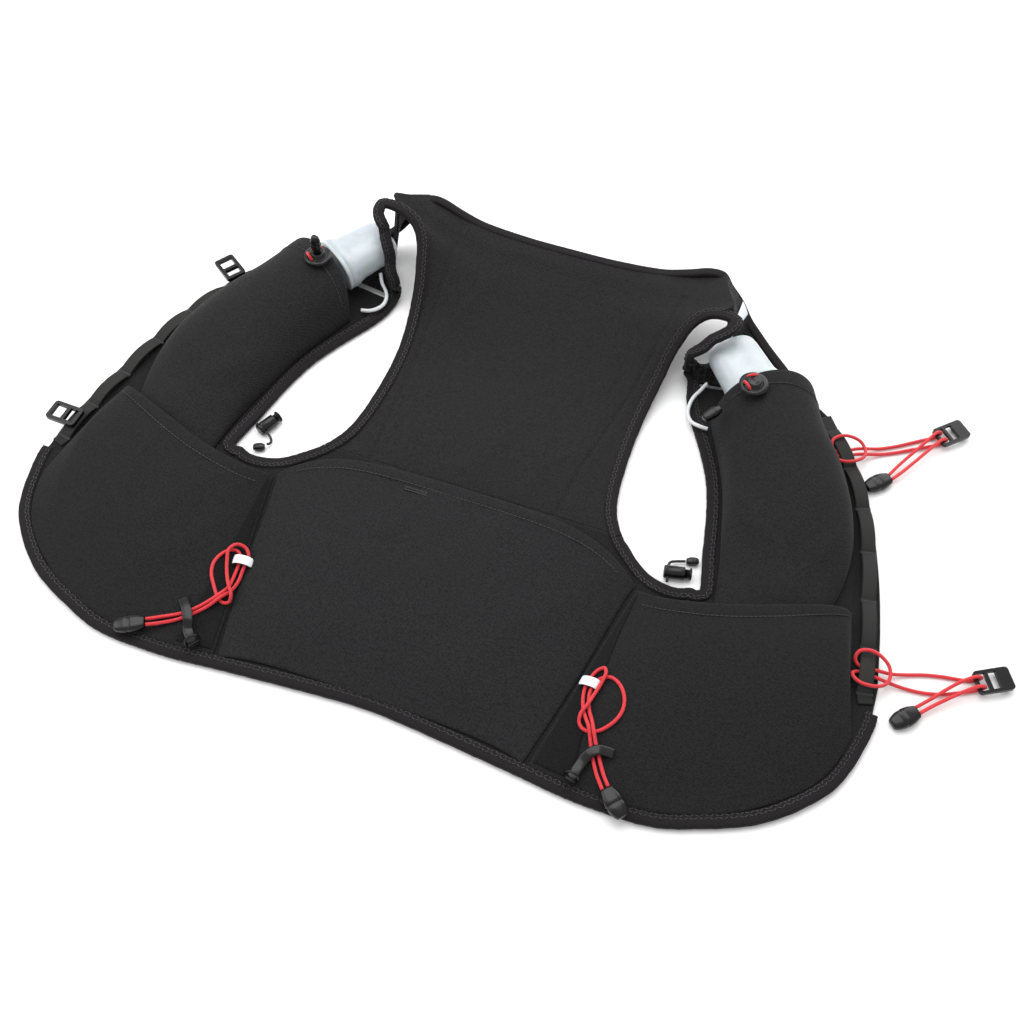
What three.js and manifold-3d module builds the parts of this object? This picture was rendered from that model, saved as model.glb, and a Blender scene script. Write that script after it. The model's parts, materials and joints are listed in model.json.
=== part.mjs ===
// A running hydration vest, laid open on a flat surface with its outer face up and a soft flask in each front pocket.
// Millimetres. X runs across the vest, Y from the hem to the neck, Z up from the surface that it lies on.
import * as THREE from "three";
import { mergeVertices } from "three/addons/utils/BufferGeometryUtils.js";
import Module from "manifold-3d";

const wasm = await Module();
wasm.setup();

// Driving sizes of the vest
const halfWidth = 320; // centre line to the outermost edge of a side wing
const backLength = 438; // lowest point of the hem to the neck edge
const neckRise = 28; // how far the middle of the neck edge lies above the surface
const neckCornerRise = 45; // the same at the neck corners
const backCloth = 4; // padded cloth with its mesh lining
const pocketCloth = 1.6; // stretch cloth of the pockets
const gap = 0.3; // room between two pieces that touch on the real vest
const crowns = {
  left: { rise: 62, lean: 17, out: 11 },
  right: { rise: 55, lean: 0, out: 0 },
}; // top of each shoulder fold: its height, and how far it flops towards the neck and outwards
const strapSag = 11; // how deep the strap dips under the flask cap

// Edges and webbing
const bindingWidth = 9;
const bindingThick = 6;
const neckBindingWidth = 7;
const neckBindingThick = 5;
const webbingWidth = 10;
const webbingThick = 1.5;
const webbingArch = 4.2; // room under a webbing loop between two bar tacks

// Pockets
const backPocketLoft = 13;
const sidePocketLoft = 17;
const flaskPocketLoft = 46;
const pocketFullness = 0.7; // below 1 the flask pocket's section has fuller shoulders than a half oval

// Flasks
const flaskClearance = 3; // between a full flask and the cloth of its pocket
const flaskShare = 0.86; // width of the flask over the width of its pocket at the foot
const capWidth = 44;
const capThick = 30;
const capLength = 42;
const collarWidth = 48;
const collarThick = 34;
const collarLength = 9;
const capRoom = 4; // between the cap and the strap pressed down under it

// Cords and small hardware
const cordDia = 2.5;
const loopDia = 3;
const sideCordDia = 2;
const cordEnd = { length: 21, width: 13, thick: 7.5 };
const smallEnd = { length: 9, width: 6, thick: 6 }; // on the thin cords of the side locks
const standingEnd = { length: 16, width: 8, thick: 7 }; // on the drawcords of the flask pockets
const hook = { length: 25, width: 17, thick: 2.8, bar: 2.2, slot: 5.6, foot: 3.6 };
const buckle = { length: 25, width: 17, thick: 3.2, bar: 3 };
const tag = { width: 14, length: 7.5, thick: 1, arch: 3.4 };
const poleHook = { width: 7, thick: 2 };
const ring = { radius: 5, wire: 1.8 };
const lock = { radius: 4.8, length: 15, bore: 9, cordHole: 3 }; // side cord lock
const button = { flange: 4.6, rim: 1.6, travel: 3, seat: 2 }; // its push button, with the length left in the bore
const mouthLock = { radius: 11, height: 6 };
const bandThick = 0.8;
const bandShare = 0.86; // where the reflective band crosses the strap
const bandSpan = 0.07; // and how much of the strap's length it covers

// Back yoke, a row across the back for each height: the edge beside the armhole, then the middle.
// x in half widths, y in back lengths, rise in crown heights, lean in crown leans, midRise in neck heights.
const yokeRows = [
  { x: 0.372, y: 0.459, rise: 0, lean: 0, out: 0, midY: 0.459, midRise: 0 },
  { x: 0.338, y: 0.507, rise: 0, lean: 0, out: 0, midY: 0.507, midRise: 0 },
  { x: 0.322, y: 0.598, rise: 0, lean: 0, out: 0, midY: 0.598, midRise: 0 },
  { x: 0.322, y: 0.703, rise: 0.04, lean: 0, out: 0, midY: 0.703, midRise: 0.04 },
  { x: 0.334, y: 0.779, rise: 0.2, lean: 0, out: 0, midY: 0.776, midRise: 0.18 },
  { x: 0.35, y: 0.838, rise: 0.49, lean: 0.1, out: 0, midY: 0.836, midRise: 0.39 },
  { x: 0.388, y: 0.879, rise: 0.8, lean: 0.6, out: 0, midY: 0.886, midRise: 0.61 },
  { x: 0.441, y: 0.898, rise: 1, lean: 1, out: 0.45, midY: 0.93, midRise: 0.79 },
];

// Neck corner, where the shoulder fold meets the neck edge.
const neckCorner = { x: 0.388, y: 1.002 };
const neckMid = 0.995;

// Lower band from the centre line to a wing tip: the hem and the upper edge.
const bandRows = [
  { x: 0, hem: 0.03, top: 0.457 },
  { x: 0.14, hem: 0.024, top: 0.457 },
  { x: 0.266, hem: 0.016, top: 0.457 },
  { x: 0.34, hem: 0.011, top: 0.457 },
  { x: 0.378, hem: 0.008, top: 0.451 },
  { x: 0.416, hem: 0.005, top: 0.425 },
  { x: 0.453, hem: 0.003, top: 0.406 },
  { x: 0.49, hem: 0.002, top: 0.397 },
  { x: 0.531, hem: 0.002, top: 0.395 },
  { x: 0.569, hem: 0.002, top: 0.4 },
  { x: 0.64, hem: 0.008, top: 0.39 },
  { x: 0.716, hem: 0.027, top: 0.379 },
  { x: 0.834, hem: 0.068, top: 0.362 },
  { x: 0.95, hem: 0.153, top: 0.346 },
  { x: 0.99, hem: 0.235, top: 0.341 },
  { x: 1, hem: 0.275, top: 0.338 },
];

// Front panel from the side wing to the shoulder: its armhole edge and its outer edge.
const frontRows = [
  { inX: 0.572, inY: 0.402, outX: 0.985, outY: 0.344 },
  { inX: 0.556, inY: 0.47, outX: 0.968, outY: 0.425 },
  { inX: 0.532, inY: 0.56, outX: 0.944, outY: 0.51 },
  { inX: 0.508, inY: 0.62, outX: 0.916, outY: 0.585 },
  { inX: 0.475, inY: 0.671, outX: 0.88, outY: 0.663 },
  { inX: 0.447, inY: 0.708, outX: 0.838, outY: 0.726 },
  { inX: 0.422, inY: 0.74, outX: 0.8, outY: 0.772 },
  { inX: 0.4, inY: 0.778, outX: 0.755, outY: 0.813 },
  { inX: 0.388, inY: 0.808, outX: 0.703, outY: 0.842 },
];

// Shoulder strap from the front panel up to its fold: armhole edge, then neck edge.
const strapRows = [
  { inX: 0.386, inY: 0.817, inRise: 0.05, lean: 0.1, out: 0.1, outX: 0.695, outY: 0.854, outRise: 0.03, sag: 0 },
  { inX: 0.376, inY: 0.82, inRise: 0.2, lean: 0.25, out: 0.4, outX: 0.65, outY: 0.874, outRise: 0.06, sag: 0.6 },
  { inX: 0.372, inY: 0.824, inRise: 0.4, lean: 0.45, out: 1, outX: 0.6, outY: 0.906, outRise: 0.1, sag: 1 },
  { inX: 0.378, inY: 0.827, inRise: 0.55, lean: 0.7, out: 1, outX: 0.556, outY: 0.932, outRise: 0.16, sag: 1.2 },
  { inX: 0.394, inY: 0.829, inRise: 0.7, lean: 1, out: 1, outX: 0.522, outY: 0.95, outRise: 0.26, sag: 1.2 },
  { inX: 0.413, inY: 0.842, inRise: 0.82, lean: 1.12, out: 0.9, outX: 0.49, outY: 0.964, outRise: 0.4, sag: 1 },
  { inX: 0.438, inY: 0.854, inRise: 0.91, lean: 1, out: 0.6, outX: 0.458, outY: 0.982, outRise: 0.6, sag: 0.5 },
  { inX: 0.453, inY: 0.87, inRise: 0.97, lean: 1, out: 0.35, outX: 0.42, outY: 0.997, outRise: 0.78, sag: 0.2 },
];

// Armhole below the panels, from the front panel's foot round to the yoke's: the edge of the band.
const armholeFoot = [
  { x: 0.556, y: 0.404 },
  { x: 0.525, y: 0.396 },
  { x: 0.486, y: 0.397 },
  { x: 0.45, y: 0.407 },
  { x: 0.412, y: 0.429 },
];

// Back pocket, a row across it for each height: half width, side height, middle height and how far it stands off.
const backPocketRows = [
  { x: 0.344, side: 0.037, mid: 0.054, loft: 0 },
  { x: 0.369, side: 0.114, mid: 0.125, loft: 0.6 },
  { x: 0.394, side: 0.205, mid: 0.215, loft: 0.9 },
  { x: 0.412, side: 0.285, mid: 0.3, loft: 1 },
  { x: 0.425, side: 0.34, mid: 0.375, loft: 1 },
  { x: 0.436, side: 0.374, mid: 0.436, loft: 0.9 },
];

// Side pocket from the back pocket out to the webbing: its foot along the hem and its mouth.
const sidePocketRows = [
  { footX: 0.359, footY: 0.036, mouthX: 0.445, mouthY: 0.366 },
  { footX: 0.462, footY: 0.029, mouthX: 0.5, mouthY: 0.356 },
  { footX: 0.581, footY: 0.029, mouthX: 0.572, mouthY: 0.361 },
  { footX: 0.688, footY: 0.047, mouthX: 0.65, mouthY: 0.375 },
  { footX: 0.8, footY: 0.086, mouthX: 0.744, mouthY: 0.4 },
  { footX: 0.906, footY: 0.155, mouthX: 0.825, mouthY: 0.424 },
  { footX: 0.95, footY: 0.235, mouthX: 0.875, mouthY: 0.438 },
  { footX: 0.938, footY: 0.29, mouthX: 0.9, mouthY: 0.445 },
];

// Flask pocket from its foot, tucked into the side pocket, up to its slanted mouth.
const flaskPocketRows = [
  { inX: 0.62, inY: 0.342, outX: 0.82, outY: 0.342, loft: 0.1 },
  { inX: 0.601, inY: 0.447, outX: 0.862, outY: 0.462, loft: 0.3 },
  { inX: 0.58, inY: 0.52, outX: 0.87, outY: 0.545, loft: 0.55 },
  { inX: 0.556, inY: 0.594, outX: 0.85, outY: 0.615, loft: 0.74 },
  { inX: 0.526, inY: 0.653, outX: 0.804, outY: 0.69, loft: 0.87 },
  { inX: 0.496, inY: 0.7, outX: 0.742, outY: 0.753, loft: 0.96 },
  { inX: 0.476, inY: 0.733, outX: 0.7, outY: 0.808, loft: 1 },
];
const mouthBow = 0.035; // how far the flask pocket's mouth bows out towards the cap, in back lengths

// Flask caps: where each collar starts and which way it points, in the plan and in height.
const caps = {
  left: { x: 0.558, y: 0.812, z: 26, aimX: 0.476, aimY: 0.9, aimZ: 29 },
  right: { x: 0.566, y: 0.786, z: 26, aimX: 0.459, aimY: 0.869, aimZ: 30 },
};

// How far a side pocket stands off from its foot up to its mouth.
const sideSwell = [{ loft: 0 }, { loft: 0.5 }, { loft: 0.85 }, { loft: 1 }, { loft: 0.92 }];

// Webbing along the front edge, a bar tack on each row, and whether it stands off up to the next.
const webbingRows = [
  { x: 0.97, y: 0.3, arch: 0 },
  { x: 0.963, y: 0.315, arch: 1 },
  { x: 0.95, y: 0.393, arch: 1 },
  { x: 0.928, y: 0.477, arch: 1 },
  { x: 0.903, y: 0.566, arch: 1 },
  { x: 0.869, y: 0.648, arch: 1 },
  { x: 0.819, y: 0.724, arch: 1 },
  { x: 0.757, y: 0.79, arch: 0 },
  { x: 0.73, y: 0.818, arch: 0 },
];

// Hardware in the plan: its middle, and the way its long side points, in degrees from +X.
const spots = {
  lowerBuckle: { x: -0.985, y: 0.35, turn: 178 },
  upperBuckle: { x: -0.838, y: 0.765, turn: 146 },
  lowerHook: { x: 1.2125, y: 0.4064, turn: 30 },
  upperHook: { x: 1.025, y: 0.8607, turn: 45 },
  lowerChestEnd: { x: 1.053, y: 0.299, turn: 47 },
  upperChestEnd: { x: 0.888, y: 0.714, turn: 45 },
  leftPoleEnd: { x: -0.552, y: 0.026, z: 7.4, turn: 29 },
  rightPoleEnd: { x: 0.545, y: 0.015, z: 6.6, turn: 139 },
  leftTag: { x: -0.397, y: 0.191, z: 9.1, tilt: -2.8, turn: 12 },
  rightTag: { x: 0.419, y: 0.181, z: 10, tilt: 3.4, turn: -6 },
  leftMouthLock: { x: -0.572, y: 0.774, turn: 95 },
  rightMouthLock: { x: 0.55, y: 0.758, turn: 95 },
  rightMouthEnd: { x: 0.478, y: 0.7, z: 33, turn: 55 },
  leftSideEnd: { x: -0.517, y: 0.4155, turn: 22 },
  rightSideEnd: { x: 0.5394, y: 0.4541, turn: 200 },
  leftSideLock: { x: -0.536, y: 0.445, turn: 66 },
  rightSideLock: { x: 0.486, y: 0.418, turn: 12 },
};

// Cord routes, in millimetres across, up the back and above the surface, each laid from one cord end to the other.
// The strands rise where they cross each other, and the loops go round the webbing, the hook bars and the tags.
const lowerChestRoute = [
  [342.2, 140.8, 3.9], [351, 150.5, 4.6], [360, 161, 6], [368.5, 169.6, 7.6], [376.4, 175.3, 8.4],
  [380.1, 177.5, 4.9], [376.3, 175.3, 1.6], [368, 173, 1.5], [356, 171, 1.5], [344, 168, 1.5], [332, 163.5, 1.8],
  [322, 159.5, 3.9], [314, 157.8, 6], [307, 157.3, 5.8], [300, 157.6, 6], [296.9, 161, 8], [298.2, 165.5, 10.6],
  [303, 167.8, 11.3], [309, 167.8, 11.3], [315, 165.5, 10.4], [320, 161.5, 8.6], [321.8, 155, 7.6],
  [320, 148.5, 8.6], [315, 144, 10.4], [309, 142.2, 11.3], [303, 142.4, 11.3], [298.6, 145, 10.6],
  [297.3, 149.4, 8], [300.4, 152.4, 6], [307, 152.7, 5.8], [314, 152.2, 6], [322, 152.5, 3.9], [334, 153.2, 1.8],
  [346, 154.6, 1.5], [358, 158, 1.5], [369, 163.2, 1.5], [379.8, 169.3, 1.6], [383.6, 171.4, 4.9],
  [379.9, 169.3, 8.4], [373, 164.3, 7.6], [364.5, 156.8, 6], [354.5, 147.3, 4.6], [345.6, 137.6, 3.9],
];
const upperChestRoute = [
  [290.4, 322.4, 3.9], [295.5, 333, 4.6], [303, 346.5, 6], [310.5, 359.5, 7.6], [317.5, 371.5, 8.4],
  [320.6, 374.6, 4.9], [317.2, 371.3, 1.6], [310, 366.5, 1.5], [301, 360, 1.5], [290, 352.3, 1.5], [279, 345.8, 1.8],
  [269, 340.6, 3.9], [262, 336, 6], [256, 332, 5.8], [249.8, 328.1, 6], [245.4, 329.3, 8], [243.5, 333.3, 10.6],
  [246, 337.9, 11.3], [251, 341.4, 11.3], [257.5, 342.9, 10.4], [264, 342, 8.9], [268.7, 337.2, 7.7],
  [269.6, 330.2, 8.6], [266.5, 324, 10.4], [261.5, 319.8, 11.3], [256, 317.6, 11.3], [251, 318.4, 10.6],
  [249.4, 321.9, 8], [252.4, 325.8, 6], [258.6, 328.8, 5.8], [265, 332, 6], [271.5, 335.6, 4.2], [281, 340.9, 1.8],
  [292, 347, 1.5], [303.5, 354.4, 1.5], [313.5, 360.6, 1.5], [322.1, 366.6, 1.6], [325.6, 369.6, 4.9],
  [322.5, 366.5, 8.4], [315, 354.5, 7.6], [307, 341, 6], [299.5, 328.5, 4.6], [293.4, 319.4, 3.9],
];
const leftPoleRoute = [
  [-168.2, 18.6, 11.1], [-159.5, 24, 10.4], [-147.5, 31.5, 10.3], [-140, 38.5, 10.6], [-134.5, 45, 11.6],
  [-129.3, 53, 12.3], [-127, 62, 9.6], [-127.8, 72, 8.9], [-129, 81, 9.1], [-131, 87.5, 9.3], [-135, 90, 10.2],
  [-139.5, 87.5, 12], [-143, 81, 13.6], [-144.2, 73.5, 13.7], [-142, 66, 12.9], [-136.5, 58.5, 10.9],
  [-130.5, 52, 9.4], [-125.5, 49.6, 8.4], [-121.4, 51.3, 8.8], [-121.6, 56, 12], [-126.4, 62, 13.4],
  [-132, 70, 12.3], [-136.5, 79, 13], [-138.6, 87, 15.2], [-135.8, 93.2, 13.6], [-130, 94, 11], [-125.8, 90, 9.2],
  [-124.8, 84, 8.8], [-124.2, 77, 8.4], [-123.2, 69, 8.2], [-124, 60, 9.3], [-127.6, 51.5, 11.8], [-133.5, 41.5, 10.7],
  [-141, 33, 10], [-149, 25.8, 9.7], [-158, 19.6, 10.2], [-166, 14.8, 11.1],
];
const rightPoleRoute = [
  [164.8, 12.1, 10.2], [158.5, 20, 9.8], [153.5, 28, 10.2], [149.8, 35, 11.1], [147, 41, 12.2], [143.4, 48, 14.5],
  [136.6, 58.5, 11.8], [133.2, 68, 10.4], [132.2, 76, 9.8], [133.6, 84, 10.4], [136.8, 90, 12.2], [140.2, 91.8, 14],
  [142.4, 87.6, 16], [141.6, 80, 14.6], [139.8, 71, 14.6], [138, 62.5, 15.6], [135.6, 55, 14], [136.6, 49.5, 11.8],
  [140, 46.5, 11.6], [145, 46, 12], [150, 48, 12.7], [155, 52.6, 14], [159.3, 59.5, 15.4], [160.8, 67.5, 16.2],
  [158.6, 76, 16.8], [153, 83.3, 16], [146.5, 86.4, 14.6], [141.4, 85.2, 12.6], [137.8, 81, 11.6],
  [136.4, 72.5, 11.3], [139.8, 60.5, 12.6], [144, 53, 14.4], [147.4, 46.4, 15.1], [150.6, 40.5, 13.2],
  [154, 35, 11.8], [158.3, 28, 10.7], [163, 21, 10.1], [167.6, 15.4, 10.2],
];
const leftLoopRoute = [
  [-144.6, 368.4, 17.5], [-140.6, 361.6, 14.5], [-135.6, 357, 11], [-132.5, 351, 10], [-132.2, 343, 9.8],
  [-135.6, 337.2, 9.6], [-141, 334.4, 8.4], [-147.5, 333.2, 7.8],
];
const rightLoopRoute = [
  [139.5, 355, 10], [136.6, 347, 9.6], [133.6, 339.5, 9.4], [132.4, 331.5, 9], [133.2, 323.5, 8.2],
  [137.6, 316.4, 8.2], [144.5, 313.2, 9.6], [151.6, 313.6, 8.2],
];
const leftSideRoute = [
  [-176.9, 200.6, 4.8], [-174.2, 199.4, 4.8], [-170.3, 197.6, 4.8], [-165.8, 195.6, 4.8], [-162, 193.6, 4],
  [-159.2, 190.4, 2.8], [-159.4, 187.6, 3], [-161.2, 186.6, 3.2],
];
const rightSideRoute = [
  [160.1, 175.6, 4.4], [159.6, 178.2, 4.8], [158.4, 183.7, 4.8], [157.3, 188.8, 4.8], [158, 192.6, 3.6], [161.5, 195.4, 2.4],
  [165, 196.6, 2.6], [167.9, 197.3, 3],
];
const leftHookRoute = [
  [-151.5, 41.5, 12.2], [-145, 35, 13.8], [-140, 28.2, 13.4], [-137.3, 21.8, 10.6], [-133.2, 17.4, 10.8],
  [-129.5, 14.4, 12.2], [-127, 12.4, 12.8],
];
const rightHookRoute = [
  [143.2, 9.8, 12.8], [143.8, 13, 12.2], [145, 18.5, 11], [146.8, 25, 11.4], [149.5, 31, 13.7], [154, 34.8, 14.8],
  [159.5, 36.2, 13.6], [164, 36.4, 12.6],
];

// Colours of the cloth and hardware
const black = (color, roughness) => new THREE.MeshStandardMaterial({ color, roughness, metalness: 0 });
const paints = {
  cloth: black(0x232325, 0.92),
  mesh: black(0x151514, 0.95),
  binding: black(0x201d21, 0.85),
  webbing: black(0x2a2723, 0.7),
  plastic: black(0x1b1b1b, 0.35),
  cord: black(0xe5202b, 0.6),
  reflective: black(0xe4e9ee, 0.35),
  elastic: black(0xdfe3e3, 0.5),
  cap: black(0xeceff0, 0.3),
  flask: black(0xd8e2e6, 0.25),
};

const vest = new THREE.Group();

function add(name, geometry, paint) {
  const mesh = new THREE.Mesh(geometry, paint);
  mesh.name = name;
  vest.add(mesh);
  return mesh;
}

// Turns a closed surface that faces inwards the other way round.
function facingOut(geometry) {
  const at = geometry.attributes.position;
  const index = geometry.index;
  const corner = [new THREE.Vector3(), new THREE.Vector3(), new THREE.Vector3()];
  let volume = 0;
  for (let i = 0; i < index.count; i += 3) {
    corner.forEach((c, k) => c.fromBufferAttribute(at, index.getX(i + k)));
    volume += corner[0].dot(corner[1].clone().cross(corner[2]));
  }
  if (volume < 0) {
    for (let i = 0; i < index.count; i += 3) {
      const second = index.getX(i + 1);
      index.setX(i + 1, index.getX(i + 2));
      index.setX(i + 2, second);
    }
  }
  return geometry;
}

function reshape(base, place) {
  base.deleteAttribute("normal");
  base.deleteAttribute("uv");
  const merged = mergeVertices(base, 1e-6);
  const at = merged.attributes.position;
  for (let i = 0; i < at.count; i += 1) {
    const p = place(new THREE.Vector3().fromBufferAttribute(at, i));
    at.setXYZ(i, p.x, p.y, p.z);
  }
  return facingOut(merged);
}

// A closed sheet of cloth: place(u, v, w) says where it lies, with u and v from 0 to 1 across it and w 1 on top.
function sheet(cellsU, cellsV, place) {
  const box = new THREE.BoxGeometry(1, 1, 1, cellsU, cellsV, 1);
  return reshape(box, (p) => place(p.x + 0.5, p.y + 0.5, p.z + 0.5));
}

// A closed rod along a curve: across(t) gives its side and up directions, wide and thick its oval section.
function rod(curve, steps, sides, wide, thick, across) {
  const drum = new THREE.CylinderGeometry(1, 1, 1, sides, steps);
  return reshape(drum, (p) => {
    const t = p.y + 0.5;
    const { side, up } = across(t);
    const at = curve.getPoint(t);
    return at.addScaledVector(side, (p.x * wide) / 2).addScaledVector(up, (p.z * thick) / 2);
  });
}

// Level side direction of a binding, to the left of its run, and the up direction square to both.
function flatAcross(curve) {
  return (t) => {
    const run = curve.getTangent(t);
    const side = new THREE.Vector3(-run.y, run.x, 0).normalize();
    return { side, up: run.clone().cross(side).normalize() };
  };
}

function solid(geometry) {
  const bare = new THREE.BufferGeometry();
  bare.setAttribute("position", geometry.getAttribute("position").clone());
  bare.setIndex(geometry.index);
  const merged = mergeVertices(bare, 1e-4);
  const mesh = new wasm.Mesh({
    numProp: 3,
    vertProperties: merged.attributes.position.array,
    triVerts: new Uint32Array(merged.index.array),
  });
  return new wasm.Manifold(mesh);
}

function geometryOf(body) {
  const mesh = body.getMesh();
  const geometry = new THREE.BufferGeometry();
  geometry.setAttribute("position", new THREE.BufferAttribute(mesh.vertProperties, 3));
  geometry.setIndex(new THREE.BufferAttribute(mesh.triVerts, 1));
  return geometry;
}

// Trims a piece back to its neighbours and keeps the main body, without the offcuts beyond them.
function trim(geometry, ...tools) {
  const left = tools.reduce((body, tool) => body.subtract(solid(tool)), solid(geometry));
  const bodies = left.decompose().sort((a, b) => b.volume() - a.volume());
  return geometryOf(bodies[0]);
}

// Reads one column of a table as a smooth line, from 0 at the first row to 1 at the last.
function column(rows, name) {
  const points = rows.map((row) => new THREE.Vector3(row[name], 0, 0));
  const line = new THREE.CatmullRomCurve3(points, false, "catmullrom", 0.5);
  return (t) => line.getPoint(t).x;
}

function spline(points, closed = false) {
  return new THREE.CatmullRomCurve3(points, closed, "centripetal");
}

const onVest = (x, y, z, side) => new THREE.Vector3(side * x * halfWidth, y * backLength, z);
const crownOf = (side) => (side < 0 ? crowns.left : crowns.right);

// A point beside the armhole, lifted and leant with its shoulder fold.
function shoulderPoint(x, y, row, side) {
  const crown = crownOf(side);
  const point = onVest(x, y, (row.rise ?? row.inRise) * crown.rise, side);
  point.x += side * crown.out * row.out;
  point.y += crown.lean * row.lean;
  return point;
}

const sides = [
  { name: "left", sign: -1 },
  { name: "right", sign: 1 },
];

// Bindings
function neckPoint(side) {
  return onVest(neckCorner.x, neckCorner.y, neckCornerRise, side);
}

function armholeLine(side) {
  const yoke = yokeRows.slice(0, -1).map((row) => shoulderPoint(row.x, row.y, row, side));
  const strap = [...strapRows].reverse().map((row) => shoulderPoint(row.inX, row.inY, row, side));
  const front = [...frontRows].reverse().slice(1).map((row) => onVest(row.inX, row.inY, 0, side));
  const foot = armholeFoot.map((row) => onVest(row.x, row.y, 0, side));
  return spline([...yoke, ...strap, ...front, ...foot], true);
}

// Moves a line sideways, and up by half a binding so that it rests on the surface.
function beside(curve, count, distance, lift, closed) {
  const across = flatAcross(curve);
  const points = [];
  for (let i = 0; i < count + (closed ? 0 : 1); i += 1) {
    const t = i / count;
    const point = curve.getPoint(t).addScaledVector(across(t).side, distance);
    point.z = Math.max(0, point.z) + lift;
    points.push(point);
  }
  return spline(points, closed);
}

const armholes = sides.map(({ sign }) => beside(armholeLine(sign), 60, (sign * bindingWidth) / 2, bindingThick / 2, true));

function armholeBinding(index, extra) {
  const line = armholes[index];
  const seam = 0.004;
  const part = { getPoint: (t) => line.getPoint(seam + t * (1 - 2 * seam)) };
  const wide = bindingWidth + 2 * extra;
  const thick = bindingThick + 2 * extra;
  return rod(part, 44, 6, wide, thick, (t) => flatAcross(line)(seam + t * (1 - 2 * seam)));
}

const hemHalf = bandRows.map((row) => onVest(row.x, row.hem, 0, 1));
const hemEnd = onVest(1, 0.286, 0, 1);
const hemRight = [...hemHalf.slice(1), hemEnd];
const mirrored = (points) => [...points].reverse().map((p) => new THREE.Vector3(-p.x, p.y, p.z));
const hemOutline = spline([...mirrored(hemRight), hemHalf[0], ...hemRight]);
const hemLine = beside(hemOutline, 64, bindingWidth / 2, bindingThick / 2, false);

function hemBinding(extra) {
  return rod(hemLine, 32, 6, bindingWidth + 2 * extra, bindingThick + 2 * extra, flatAcross(hemLine));
}

function strapOuter(row, side) {
  return onVest(row.outX, row.outY, row.outRise * neckCornerRise, side);
}

// The left strap's neck edge turns in under the flask cap.
const tucks = { left: 0.86, right: 1 };
function strapNeckEdge(row, side) {
  const point = strapOuter(row, side);
  const tuck = side < 0 ? tucks.left : tucks.right;
  const reach = Math.abs(point.x) - neckCorner.x * halfWidth;
  point.x = side * (neckCorner.x * halfWidth + reach * tuck);
  return point;
}

function neckOutline() {
  const strapSide = (side) => strapRows.map((row) => strapNeckEdge(row, side));
  const edge = [-0.66, -0.33, 0, 0.33, 0.66].map((share) => {
    const lift = Math.abs(share) ** 3;
    const point = onVest(share * neckCorner.x, neckMid, neckRise + (neckCornerRise - neckRise) * lift, 1);
    point.y += (neckCorner.y - neckMid) * backLength * lift;
    return point;
  });
  return spline([...strapSide(-1), neckPoint(-1), ...edge, neckPoint(1), ...strapSide(1).reverse()]);
}

const neckLine = beside(neckOutline(), 56, -neckBindingWidth / 2, neckBindingThick / 2, false);

function neckBinding(extra) {
  return rod(neckLine, 28, 6, neckBindingWidth + 2 * extra, neckBindingThick + 2 * extra, flatAcross(neckLine));
}

add("hem_binding", hemBinding(0), paints.binding);
sides.forEach(({ name }, i) => add(name + "_armhole_binding", armholeBinding(i, 0), paints.binding));
add("neck_binding", neckBinding(0), paints.binding);
const room = 2 * gap; // cut back by this much where a panel meets its binding
const edgeTools = [armholeBinding(0, room), armholeBinding(1, room), hemBinding(room), neckBinding(room)];

// Panels of the vest
function inset(from, towards, distance) {
  return from.clone().add(towards.clone().sub(from).setLength(distance));
}

// The shoulder fold's line, from the armhole to the neck corner, where back cloth and strap mesh meet.
function ridge(side, share) {
  const top = yokeRows[yokeRows.length - 1];
  return shoulderPoint(top.x, top.y, top, side).lerp(neckPoint(side), share);
}

function yokePanel() {
  const gather = 3; // how sharply the rise gathers towards the edges
  const edges = (side) => {
    const rows = yokeRows.map((row) => shoulderPoint(row.x, row.y, row, side));
    return new THREE.CatmullRomCurve3([...rows, ridge(side, 0.5), ridge(side, 0.97)], false, "catmullrom", 0.5);
  };
  const mids = yokeRows.map((row) => onVest(0, row.midY, row.midRise * neckRise, 1));
  const neckTrim = neckBindingWidth / 2 / backLength;
  mids.push(onVest(0, 0.965 - neckTrim, 0.92 * neckRise, 1), onVest(0, neckMid - neckTrim, neckRise, 1));
  const midLine = new THREE.CatmullRomCurve3(mids, false, "catmullrom", 0.5);
  const edgeLines = { [-1]: edges(-1), 1: edges(1) };
  return sheet(10, mids.length + 2, (u, v, w) => {
    const across = u * 2 - 1;
    const mid = midLine.getPoint(v);
    const edge = edgeLines[across < 0 ? -1 : 1].getPoint(v);
    const inner = inset(edge, mid, bindingWidth / 2);
    const pull = Math.abs(across) ** gather;
    const y = mid.y + (inner.y - mid.y) * pull;
    const z = mid.z + (inner.z - mid.z) * pull;
    return new THREE.Vector3(Math.abs(across) * inner.x, y, Math.max(0, z) + w * backCloth);
  });
}

function bandPanel() {
  const hem = column(bandRows, "hem");
  const top = column(bandRows, "top");
  const out = column(bandRows, "x");
  return sheet(26, 1, (u, v, w) => {
    const across = u * 2 - 1;
    const t = Math.abs(across);
    const x = out(t) * halfWidth - bindingWidth * 0.5 * Math.max(0, t - 0.8) * 5;
    const foot = hem(t) * backLength + bindingWidth / 2;
    const head = top(t) * backLength;
    const y = THREE.MathUtils.lerp(foot, head, v);
    return new THREE.Vector3(Math.sign(across) * x, y, w * backCloth);
  });
}

// A point of the straight line across two edge lines, and the direction square to the sheet there.
function ruled(innerLine, outerLine, u, v) {
  const a = innerLine.getPoint(v);
  const b = outerLine.getPoint(v);
  const run = innerLine.getTangent(v).add(outerLine.getTangent(v));
  const normal = b.clone().sub(a).cross(run).normalize();
  if (normal.z < 0) normal.negate();
  return { point: a.lerp(b, u), normal };
}

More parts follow.
